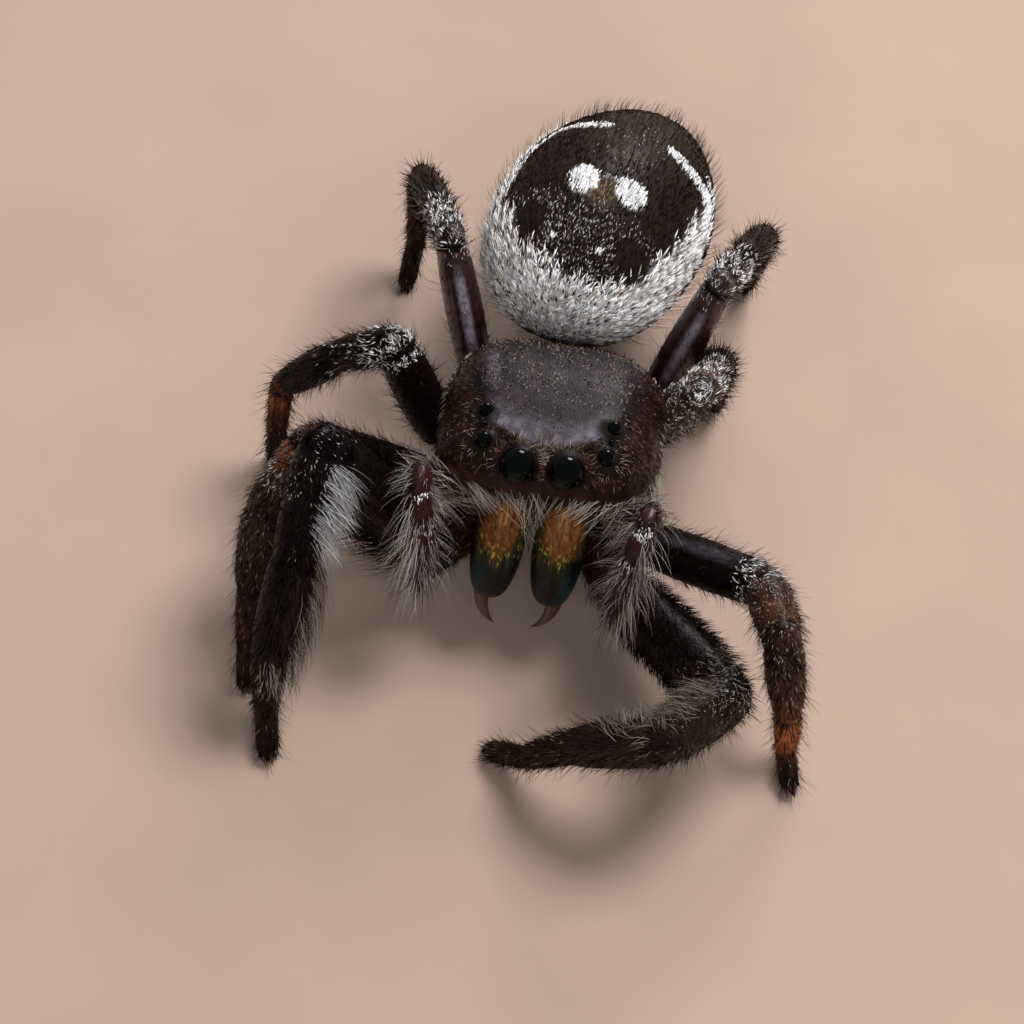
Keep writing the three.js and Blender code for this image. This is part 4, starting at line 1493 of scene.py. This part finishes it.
# %% Grow the head
on_table = table_mark(front)
side_here = is_carapace * (1 - on_table)
above = blend_step(2.2, 2.45, front[:, 2])
under_eyes = (front[:, 2] < 2.24) & (front[:, 1] < -1.9)
lashes = is_carapace * blend_step(0.26, 0.06, to_eye) * (1 - on_table) * above
corner = side_here * blend_step(0.55, 0.2, to_eye) * by_small_eye * (front[:, 0] ** 2 > 1.2)
gold_mix = sprinkled(GOLD * 0.45, CREAM * 0.65, 0.4)
fox_mix = sprinkled(FOX * 1.2, RUST * 1.2, 0.22)
dust_mix = sprinkled(INK * 1.5, CREAM * 0.34 + 0.03, 0.38)
dusty = blend_step(0.25, 0.6, soft_noise(front[:, 0] * 4 + 7, front[:, 1] * 4, 8))
dusty = dusty * blend_step(-1.2, -0.2, front[:, 1])
grow(is_carapace * on_table * (0.25 + 0.75 * dusty), 460, 0.060, 0.022, 12, dust_mix, stray=60)
grow(is_carapace * on_table * dusty, 170, 0.095, 0.030, 12, CREAM * 0.30 + 0.02, stray=80)
between_eyes = is_carapace * (np.abs(front[:, 0]) < 0.16) * (front[:, 1] < -1.9)
between_eyes = between_eyes * blend_step(2.35, 2.5, front[:, 2])
tuft_mix = sprinkled(CREAM * 0.55, BROWN * 1.8, 0.5)
grow(between_eyes, 400, 0.27, 0.012, 30, tuft_mix, stray=16, wisps=0.3, curl=0.1, rings=4)
grow(lashes * ~by_small_eye, 210, 0.20, 0.010, 28, gold_mix, stray=22, wisps=0.4, curl=0.1)
grow(corner, 60, 0.17, 0.011, 30, gold_mix * 1.1, stray=22)
grow(is_carapace * side_stripe(front), 180, 0.24, 0.018, 22, CREAM, stray=16)

# %% Grow the cheeks
cheek = side_here * ~under_eyes
grow(cheek, 250, 0.12, 0.020, 16, fox_mix, stray=34, wisps=0.4, rough=0.35)
grow(cheek, 90, 0.085, 0.015, 20, sprinkled(RUST * 2.2, CREAM * 0.32, 0.5), stray=40)
grow(cheek, 16, 0.12, 0.012, 24, GOLD * 0.45, stray=34)
# Painted glints: tiny white and cream scales on the flanks that stand in for highlights on glossy granules.
grow(side_here, 40, 0.045, 0.020, 12, sprinkled(WHITE, CREAM * 0.5, 0.5), stray=34)
grow(cheek, 9, 0.26, 0.012, 48, INK, stray=18, rings=4)
print("with the head:", hairs_so_far())

# %% [markdown]
# The beard hangs from the lower edge of the face, towards the middle and over the jaws. Its hairs follow
# their own way, down and inwards, and not the lie of the cheeks.

# %% The beard
beard = is_carapace * (np.abs(front[:, 2] - 1.82) < 0.17) * (front[:, 1] < -1.1)
toward_middle = -np.clip(front[:, 0] / 1.3, -1, 1)
hanging = np.column_stack([1.1 * toward_middle, np.full(count, -0.5), np.full(count, -0.85)])
hanging = unit(hanging) @ FRONT_TURN.T
hanging = unit(hanging - normal * (hanging * normal).sum(axis=1, keepdims=True))
beard_colour = sprinkled(CREAM * 0.7 + WHITE * 0.2, BROWN * 1.1, 0.42)
between_jaws = is_carapace * (np.abs(front[:, 0]) < 0.34) * (front[:, 1] < -1.7)
between_jaws = between_jaws * (np.abs(front[:, 2] - 1.68) < 0.16)
beard_shape = dict(rings=4, way=hanging)
grow(beard, 240, 0.84, 0.012, 30, beard_colour, stray=15, curl=0.65, wisps=0.6, droop=0.20, **beard_shape)
pale_beard = CREAM * 0.7 + WHITE * 0.2
grow(beard, 60, 1.15, 0.012, 36, pale_beard, stray=13, curl=0.5, wisps=0.4, droop=0.25, **beard_shape)
brown_mix = sprinkled(BROWN, CREAM * 0.5, 0.35)
grow(between_jaws, 260, 1.05, 0.014, 18, brown_mix, stray=12, wisps=0.5, droop=0.45, **beard_shape)
print("with the beard:", hairs_so_far())

# %% [markdown]
# ## Hair of the limbs
# Dark scales cover the legs, with pale ones on top of the knees, stiff bristles all round, and soft fringes
# on the inner side of the front legs. The feelers carry two long pale fringes, like a feather. Feet end in
# a short dense brush.

# %% Which limb each root is on
t = along
side_angle = np.abs(angle)


def on(*limbs):
    return np.any([np.char.startswith(name, limb) for limb in limbs], axis=0)


def of_kind(*kinds):
    return np.isin(kind, kinds)


near_front = on("leg1")
foot = of_kind("metatarsus", "tarsus")
femur, patella, tibia = of_kind("femur"), of_kind("patella"), of_kind("tibia")
knee = np.zeros(count)
for one in LEG_KINDS + PALP_KINDS:
    here = kind == one
    knee[here] = knee_mark(one, t[here], angle[here])
print("roots on the legs:", int(is_leg.sum()), "on the feelers:", int(is_palp.sum()))

# %% [markdown]
# The knees of the hind legs are nearly white, those of the front legs only frosted. Each line below adds
# one stretch of white, and a shared noise then breaks it up into patches.

# %% Pale knees
whiter_knee = 1.0 * on("leg3_left", "leg4") * patella
whiter_knee += on("leg3_left") * femur * blend_step(0.3, 0.6, t)
whiter_knee += on("leg3_right") * femur * blend_step(0.78, 0.88, t)
whiter_knee += on("leg3_right") * patella * (0.15 + 0.85 * blend_step(0.40, 0.15, t))
whiter_knee += on("leg2_left") * femur * blend_step(0.76, 0.9, t)
whiter_knee += 0.5 * on("leg2_right") * patella * blend_step(0.2, 0.1, np.abs(t - 0.5))
whiter_knee = np.clip(whiter_knee, 0, 1) * (0.35 + 0.65 * blend_step(-0.2, 0.1, wisp_noise(0.24, 9)))
whiter_knee = is_leg * whiter_knee * blend_step(140, 110, side_angle)
frosted = on("leg1_left") * blend_step(125, 80, side_angle)
frosted = frosted * np.where(patella, blend_step(0.6, 0.3, t), femur * blend_step(0.7, 0.85, t))
patchy = blend_step(-0.45, 0.0, wisp_noise(0.2, 5))
knee_white = sprinkled(WHITE * 1.1, CREAM * 0.5, 0.25)
knee_grey = sprinkled(WHITE * 0.65, CREAM * 0.3, 0.4)
frost_mix = sprinkled(CREAM * 0.42 + 0.05, BROWN, 0.4)
grow(whiter_knee, 420, 0.14, 0.028, 15, knee_white, stray=24, wisps=0.3)
grow(is_leg * knee * patchy * (1 - 0.7 * near_front), 340, 0.11, 0.020, 15, knee_grey, stray=24)
grow(frosted, 170, 0.22, 0.015, 20, frost_mix, stray=18, wisps=0.4)
print("with the knees:", hairs_so_far())

# %% Grow the legs
leg_colour = shell_colour * 1.2
bare = 1 - 0.8 * (on("leg4") & femur)
mottled = is_leg * on("leg2") * (patella | tibia)
under_foot = is_leg * (kind == "tarsus") * blend_step(120, 150, side_angle)
mottle_mix = sprinkled(BROWN * 2.4, CREAM * 0.45, 0.35)
scale_mix = sprinkled(leg_colour, BROWN * 1.1, 0.08)
foot_mix = sprinkled(leg_colour, CREAM * 0.4, 0.10)
bristle_mix = sprinkled(INK, BROWN * 0.9, 0.15)
long_mix = sprinkled(INK, BROWN * 1.2, 0.3)
grow(mottled, 130, 0.15, 0.022, 18, mottle_mix, stray=26)
grow(is_leg * ~foot * bare, 210, 0.13, 0.021, 13, scale_mix, stray=12, rough=0.5)
grow(is_leg * foot, 270, 0.14, 0.018, 20, foot_mix, stray=14, wisps=0.3, rough=0.6)
grow(is_leg * bare, 90, 0.26, 0.012, 38, bristle_mix, stray=14, curl=0.12)
grow(is_leg * bare, 22, 0.46, 0.011, 58, long_mix, stray=14, curl=0.1, rings=4)
grow(under_foot, 220, 0.12, 0.016, 35, BROWN * 0.6, stray=10)
print("with the legs:", hairs_so_far())

# %% [markdown]
# The first right leg carries a white plume below its knee, the first left leg a woolly grey one. Both are
# combed towards the animal's front. Their thighs are the thickest and blackest of all, with a deep pile
# on the sides of the left one.

# %% Fringes of the front legs
inner = blend_step(5, 25, angle) * blend_step(115, 95, angle)
on_left = on("leg1_left", "leg2_left", "leg3_left", "leg4_left", "palp_left")
to_front = np.where(on_left, 1, -1)[:, None] * np.cross(limb_way, normal)
combed = dict(rings=4, way=unit(limb_way + 1.5 * to_front))
soft_grey = CREAM * 0.35 + 0.06
plume = on("leg1_right") * inner * patella * blend_step(0.05, 0.16, t) * blend_step(0.88, 0.75, t)
woolly = on("leg1_left") * blend_step(-60, -20, angle) * blend_step(130, 100, angle)
woolly = woolly * np.where(patella, blend_step(0.1, 0.4, t), tibia * blend_step(0.7, 0.3, t))
shin_fringe = tibia * blend_step(35, 70, angle) * blend_step(175, 150, angle)
ankle = near_front * (kind == "metatarsus") * blend_step(0.55, 0.25, t) * blend_step(-30, 0, angle)
plume_mix = sprinkled(WHITE * 0.34, WHITE * 0.72, 0.55)
woolly_mix = sprinkled(CREAM * 0.42, BROWN * 1.4, 0.45)
right_mix = sprinkled(BROWN * 0.6, soft_grey, 0.22)
left_mix = sprinkled(BROWN * 0.8, soft_grey, 0.35)
ankle_mix = sprinkled(CREAM * 0.75, BROWN, 0.35)
grow(plume, 400, 0.74, 0.014, 26, plume_mix, stray=12, curl=0.6, wisps=0.6, droop=0.16, **combed)
grow(woolly, 270, 0.52, 0.013, 30, woolly_mix, stray=20, curl=0.8, wisps=0.8, **combed)
grow(on("leg1_right") * shin_fringe, 290, 0.95, 0.014, 56, right_mix, stray=14, curl=0.4, rings=4, wisps=0.6)
grow(on("leg1_left") * shin_fringe, 120, 0.50, 0.013, 44, left_mix, stray=14, curl=0.3, rings=4, wisps=0.5)
grow(ankle, 230, 0.38, 0.013, 36, ankle_mix, stray=18, curl=0.4, rings=4, wisps=0.5)

# %% Thighs of the front legs, and the other shins
PILE_FREE = 29  # degrees round the left thigh where its smooth stripe lies
thigh_fringe = femur * blend_step(140, 160, side_angle) * blend_step(0.95, 0.82, t)
from_stripe = np.abs((angle - PILE_FREE + 180) % 360 - 180)
thigh_pile = on("leg1_left") * femur * blend_step(42, 72, from_stripe) * blend_step(0.98, 0.8, t)
other_shin = ~near_front * is_leg * (patella | tibia) * blend_step(70, 110, side_angle)
thigh_mix = sprinkled(INK, soft_grey, 0.15)
shin_mix = sprinkled(BROWN * 0.8, soft_grey, 0.4)
grow(on("leg1_right") * thigh_fringe, 260, 0.95, 0.017, 66, INK * 1.2, stray=10, curl=0.2, rings=4, wisps=0.3)
grow(on("leg1_left") * thigh_fringe, 80, 0.4, 0.014, 60, thigh_mix, stray=12, rings=4)
grow(thigh_pile, 170, 0.34, 0.017, 52, INK, stray=14, wisps=0.3)
grow(other_shin, 60, 0.36, 0.013, 48, shin_mix, stray=16, rings=4)
print("with the fringes:", hairs_so_far())

# %% [markdown]
# A feeler is a feather: two rows of long pale hairs stand out on its sides. Its back stays smooth and
# maroon, with a white patch before each of its two outer joints.

# %% Grow the feelers
two_sides = blend_step(50, 70, side_angle) * blend_step(130, 110, side_angle)
fringe_colour = sprinkled(CREAM * 0.42 + WHITE * 0.28, MAROON + BROWN, 0.42)
palp_out = is_palp * (kind != "palp_femur") * np.where(kind == "palp_patella", blend_step(0.0, 0.4, t), 1)
palp_femur, palp_tip = is_palp * (kind == "palp_femur"), is_palp * (kind == "palp_tarsus")
tip_mix = sprinkled(MAROON * 3.0, WHITE * 0.42, 0.42)
grow(is_palp * knee, 420, 0.10, 0.036, 12, WHITE, stray=16, rough=0.5)
feathered = dict(stray=5, curl=0.22, rings=4, wisps=0.4, droop=0.04)
grow(palp_out * two_sides, 330, 0.90, 0.012, 62, fringe_colour, **feathered)
grow(palp_out * (1 - two_sides), 25, 0.26, 0.012, 32, fringe_colour, stray=14, rings=4)
grow(palp_femur, 170, 0.55, 0.012, 34, fringe_colour, stray=18, curl=0.5, rings=4, wisps=0.5)
grow(is_palp, 14, 0.09, 0.020, 14, WHITE * 0.9, stray=20)
grow(is_palp, 90, 0.12, 0.020, 14, MAROON * 1.4, stray=14)
grow(palp_tip, 320, 0.38, 0.013, 26, tip_mix, stray=16, wisps=0.3)

# %% Grow the underside
belly_colour = sprinkled(BROWN, CREAM * 0.7, 0.2)
grow(of_kind("belly", "coxa"), 60, 0.2, 0.02, 16, belly_colour, stray=20)
print("hairs:", hairs_so_far())

# %% [markdown]
# ## Mesh of the coat
# The blades are built for thousands of hairs at once: rings of three points up a bent line, then the tip.
# Each hair also gets a patch of the coat's own unwrap at its root's place: round the part one way and along
# it the other way, so that the unwrap follows the skin.

# %% Unwrap of the roots
PATCH = 0.003  # height of one hair's patch of the unwrap


def unwrap():
    u = (angle + 180) / 360
    v = along.copy()
    for kinds in (LEG_KINDS, PALP_KINDS):
        for i, one in enumerate(kinds):
            v[kind == one] = (i + along[kind == one]) / len(kinds)
    u[is_palp] = u[is_palp] / 2 + 0.5 * (root[is_palp, 0] > 0)
    u[behind_waist] = (tail_angle[behind_waist] + 180) / 360
    v[behind_waist] = np.arccos(np.clip(-tail_s[behind_waist], -1, 1)) / math.pi
    shield = is_carapace | (kind == "belly")
    u[shield] = np.arctan2(front[shield, 0], front[shield, 2] - CARAPACE["rim"]) / math.tau + 0.5
    s = (front[shield, 1] - SHIELD_MIDDLE) / CARAPACE["back"]
    v[shield] = np.arccos(np.clip(-s, -1, 1)) / math.pi
    return np.column_stack([u, v]) * (1 - 2 * PATCH) + PATCH


# %% Blades for many hairs
LEAF = (0.6, 1.0)
STALK = (1.0, 0.85, 0.65, 0.4)
FOOT_SHADE = 0.55
ABOVE_FLOOR = 0.003


def blades(hair):
    """Points, faces, colours and unwrap of all the hairs of one kind."""
    rings = hair["rings"]
    widths = STALK if rings == 4 else LEAF
    number = len(hair["root"])
    way, up = hair["way"], hair["normal"]
    across = unit(np.cross(way, up))
    outward = np.cross(across, way)
    length = hair["length"][:, None]
    points, marks = [], []
    for ring in range(rings + 1):
        v = ring / rings
        spine = hair["root"] + way * length * v + hair["bend"] * length * v * v
        if ring == rings:
            points.append(spine)
            marks.append((0, 1))
            break
        width = hair["width"][:, None] * widths[ring]
        ridge = outward * width * 2 * hair["flat"]
        points += [spine - across * width, spine + across * width, spine + ridge]
        marks += [(-1, v), (1, v), (0.2, v)]
    each = len(points)
    points = np.stack(points, axis=1).reshape(-1, 3)
    faces = [(0, 1, 2)]
    for ring in range(rings - 1):
        for a, b in ((0, 1), (1, 2), (2, 0)):
            a, b = 3 * ring + a, 3 * ring + b
            faces += [(a, a + 3, b + 3), (a, b + 3, b)]
    for a, b in ((0, 1), (1, 2), (2, 0)):
        faces.append((3 * rings - 3 + a, 3 * rings, 3 * rings - 3 + b))
    faces = (np.arange(number)[:, None, None] * each + np.array(faces)[None]).reshape(-1, 3)
    shade = np.array([FOOT_SHADE if mark[1] == 0 else 1.0 for mark in marks])
    colour = (hair["colour"][:, None, :] * shade[None, :, None]).reshape(-1, 3)
    patch = unwrapped[hair["chosen"]][:, None, :] + (np.array(marks)[None] - (0, 0.5)) * (PATCH / 2, PATCH)
    return points, faces, colour, patch.reshape(-1, 2)


def part_mesh(name, bundles):
    """One mesh from the bundles of points, faces, colours, patches and roughness."""
    points = np.concatenate([bundle[0] for bundle in bundles])
    points[:, 2] = np.maximum(points[:, 2], ABOVE_FLOOR)
    shift = np.cumsum([0] + [len(bundle[0]) for bundle in bundles])
    faces = np.concatenate([bundle[1] + start for bundle, start in zip(bundles, shift)]).astype(np.int32)
    colour = np.concatenate([bundle[2] for bundle in bundles])
    patch = np.concatenate([bundle[3] for bundle in bundles])
    rough = np.concatenate([np.full(len(bundle[0]), bundle[4]) for bundle in bundles])
    mesh = bpy.data.meshes.new(name)
    mesh.vertices.add(len(points))
    mesh.vertices.foreach_set("co", points.astype(np.float32).ravel())
    mesh.loops.add(faces.size)
    mesh.loops.foreach_set("vertex_index", faces.ravel())
    mesh.polygons.add(len(faces))
    mesh.polygons.foreach_set("loop_start", np.arange(0, faces.size, 3, dtype=np.int32))
    mesh.update(calc_edges=True)
    paint(mesh, colour, rough)
    layer = mesh.uv_layers.new(name="OFBake")
    layer.data.foreach_set("uv", patch[faces.ravel()].astype(np.float32).ravel())
    return mesh


# %% [markdown]
# The coat is cut into pieces by limb and by body part, so that no mesh grows too heavy. Every piece rides
# on the same body as the skin below it.

# %% Sort the hairs into pieces
def piece_names():
    names = np.array([segment.limb for segment in SEGMENTS] + BODY_PARTS, dtype="U30")[part]
    names[is_palp] = "feelers"
    names[is_carapace] = "shield"
    names[behind_waist & (rear[:, 0] > 0)] = "tail_left"
    names[behind_waist & (rear[:, 0] <= 0)] = "tail_right"
    return names


unwrapped = unwrap()
piece_of = piece_names()
total = 0
for piece_name in sorted(set(piece_of)):
    bundles = []
    for hair in grown:
        mine = piece_of[hair["chosen"]] == piece_name
        if mine.any():
            own = {key: value[mine] if np.ndim(value) else value for key, value in hair.items()}
            bundles.append((*blades(own), hair["rough"]))
    mesh = part_mesh(f"coat_{piece_name}", bundles)
    total += len(mesh.polygons)
    print(mesh.name, len(mesh.polygons))
    hand_over(mesh.name, mesh, HAIR_FINISH)
print("triangles of the coat:", total)

# %% [markdown]
# The skin comes last, because the coat needed it in millimetres. It stands in for every solid of flesh;
# only the eyes, jaws and fangs have taken the place of their own solids.

# %% The skin takes the place of the flesh
FLESH = ["carapace", "sternum", "mouthparts", "abdomen", "spinnerets", "palp_left", "palp_right"]
FLESH += [node for node in frame["nodes"] if node.startswith("leg")]
hand_over("skin", skin_mesh, SKIN_FINISH, FLESH)
print("the skin replaces", len(FLESH), "solids")

# %% [markdown]
# ## Floor, light and camera
# The floor is pale and warm. The main light is soft and stands high on the animal's left, a little behind
# it. A small one behind shows in the eyes and the polish, and a broad weak one fills the front. The camera
# looks down on the head from in front, a little rolled, as one would look at a spider held up to the eye.

# %% Floor
FLOOR_SIZE = 0.6
FLOOR_COLOUR = (0.47, 0.35, 0.28, 1)


def floor_finish():
    material, tree, shader = principled("floor plaster")
    add_mottle(tree, shader, 220, 0.05).default_value = FLOOR_COLOUR
    add_relief(tree, shader, 900, 0.15, 0.00003)
    shader.inputs["Roughness"].default_value = 0.85
    return material


slab = bmesh.new()
bmesh.ops.create_grid(slab, x_segments=1, y_segments=1, size=FLOOR_SIZE / 2)
floor_mesh = mesh_from(slab, "floor")
floor_mesh.materials.append(floor_finish())
floor = bpy.data.objects.new("floor", floor_mesh)
bpy.context.scene.collection.objects.link(floor)

# %% [markdown]
# The camera is a long lens some way off, as for a portrait of a small animal: it keeps the near feet from
# looking too big.

# %% Camera
AZIMUTH = math.radians(4.28)
ELEVATION = math.radians(52)
ROLL = math.radians(5.115)
CAMERA_PLACE = Vector((2.76, -46.14, 58.36)) * MM
SENSOR = 36.0
FOCAL_LENGTH = 127.5

reach = math.cos(ELEVATION)
back = Vector((math.sin(AZIMUTH) * reach, -math.cos(AZIMUTH) * reach, math.sin(ELEVATION)))
level = Vector((math.cos(AZIMUTH), math.sin(AZIMUTH), 0))
rise = back.cross(level)
right = level * math.cos(ROLL) + rise * math.sin(ROLL)
up = rise * math.cos(ROLL) - level * math.sin(ROLL)
lens = bpy.data.cameras.new("view from in front")
lens.sensor_width = SENSOR
lens.lens = FOCAL_LENGTH
lens.clip_start = 0.001
lens.clip_end = 10
camera = bpy.data.objects.new("view from in front", lens)
camera.matrix_world = placing((right, up, back), CAMERA_PLACE)
bpy.context.scene.collection.objects.link(camera)
bpy.context.scene.camera = camera
print("camera stands", round(CAMERA_PLACE.length / MM), "mm away")

# %% [markdown]
# Black fur needs light from the side and from behind to show its form. The main lamp and the one in front
# are kept out of reflections, so that the eyes and the polished thighs mirror only the small one behind.

# %% Lights
AIM = Vector((0, 0, 0.003))
ROOM_LIGHT = 0.20
LAMPS = [  # name, place and size in metres, power in watts, colour, and whether it shows in reflections
    ("key", (0.050, 0.045, 0.125), 0.07, 0.185, (1.0, 0.985, 0.97), False),
    ("back", (0.02, 0.125, 0.075), 0.050, 0.08, (1.0, 0.96, 0.98), True),
    ("fill", (0.02, -0.13, 0.075), 0.12, 0.09, (1.0, 0.97, 0.95), False),
]


def soft_light(name, place, size, power, colour, glossy):
    light = bpy.data.lights.new(name, "AREA")
    light.shape = "DISK"
    light.size = size
    light.energy = power
    light.color = colour
    lamp = bpy.data.objects.new(name, light)
    lamp.location = place
    lamp.rotation_euler = (AIM - Vector(place)).to_track_quat("-Z", "Y").to_euler()
    lamp.visible_glossy = glossy
    bpy.context.scene.collection.objects.link(lamp)


for lamp_settings in LAMPS:
    soft_light(*lamp_settings)
world = bpy.data.worlds.new("room")
world.use_nodes = True
background = world.node_tree.nodes["Background"]
background.inputs["Color"].default_value = (1.0, 0.97, 0.96, 1)
background.inputs["Strength"].default_value = ROOM_LIGHT
bpy.context.scene.world = world
bpy.context.scene.view_settings.view_transform = "Standard"
print("lamps:", len(LAMPS))

# %% Import json
import json
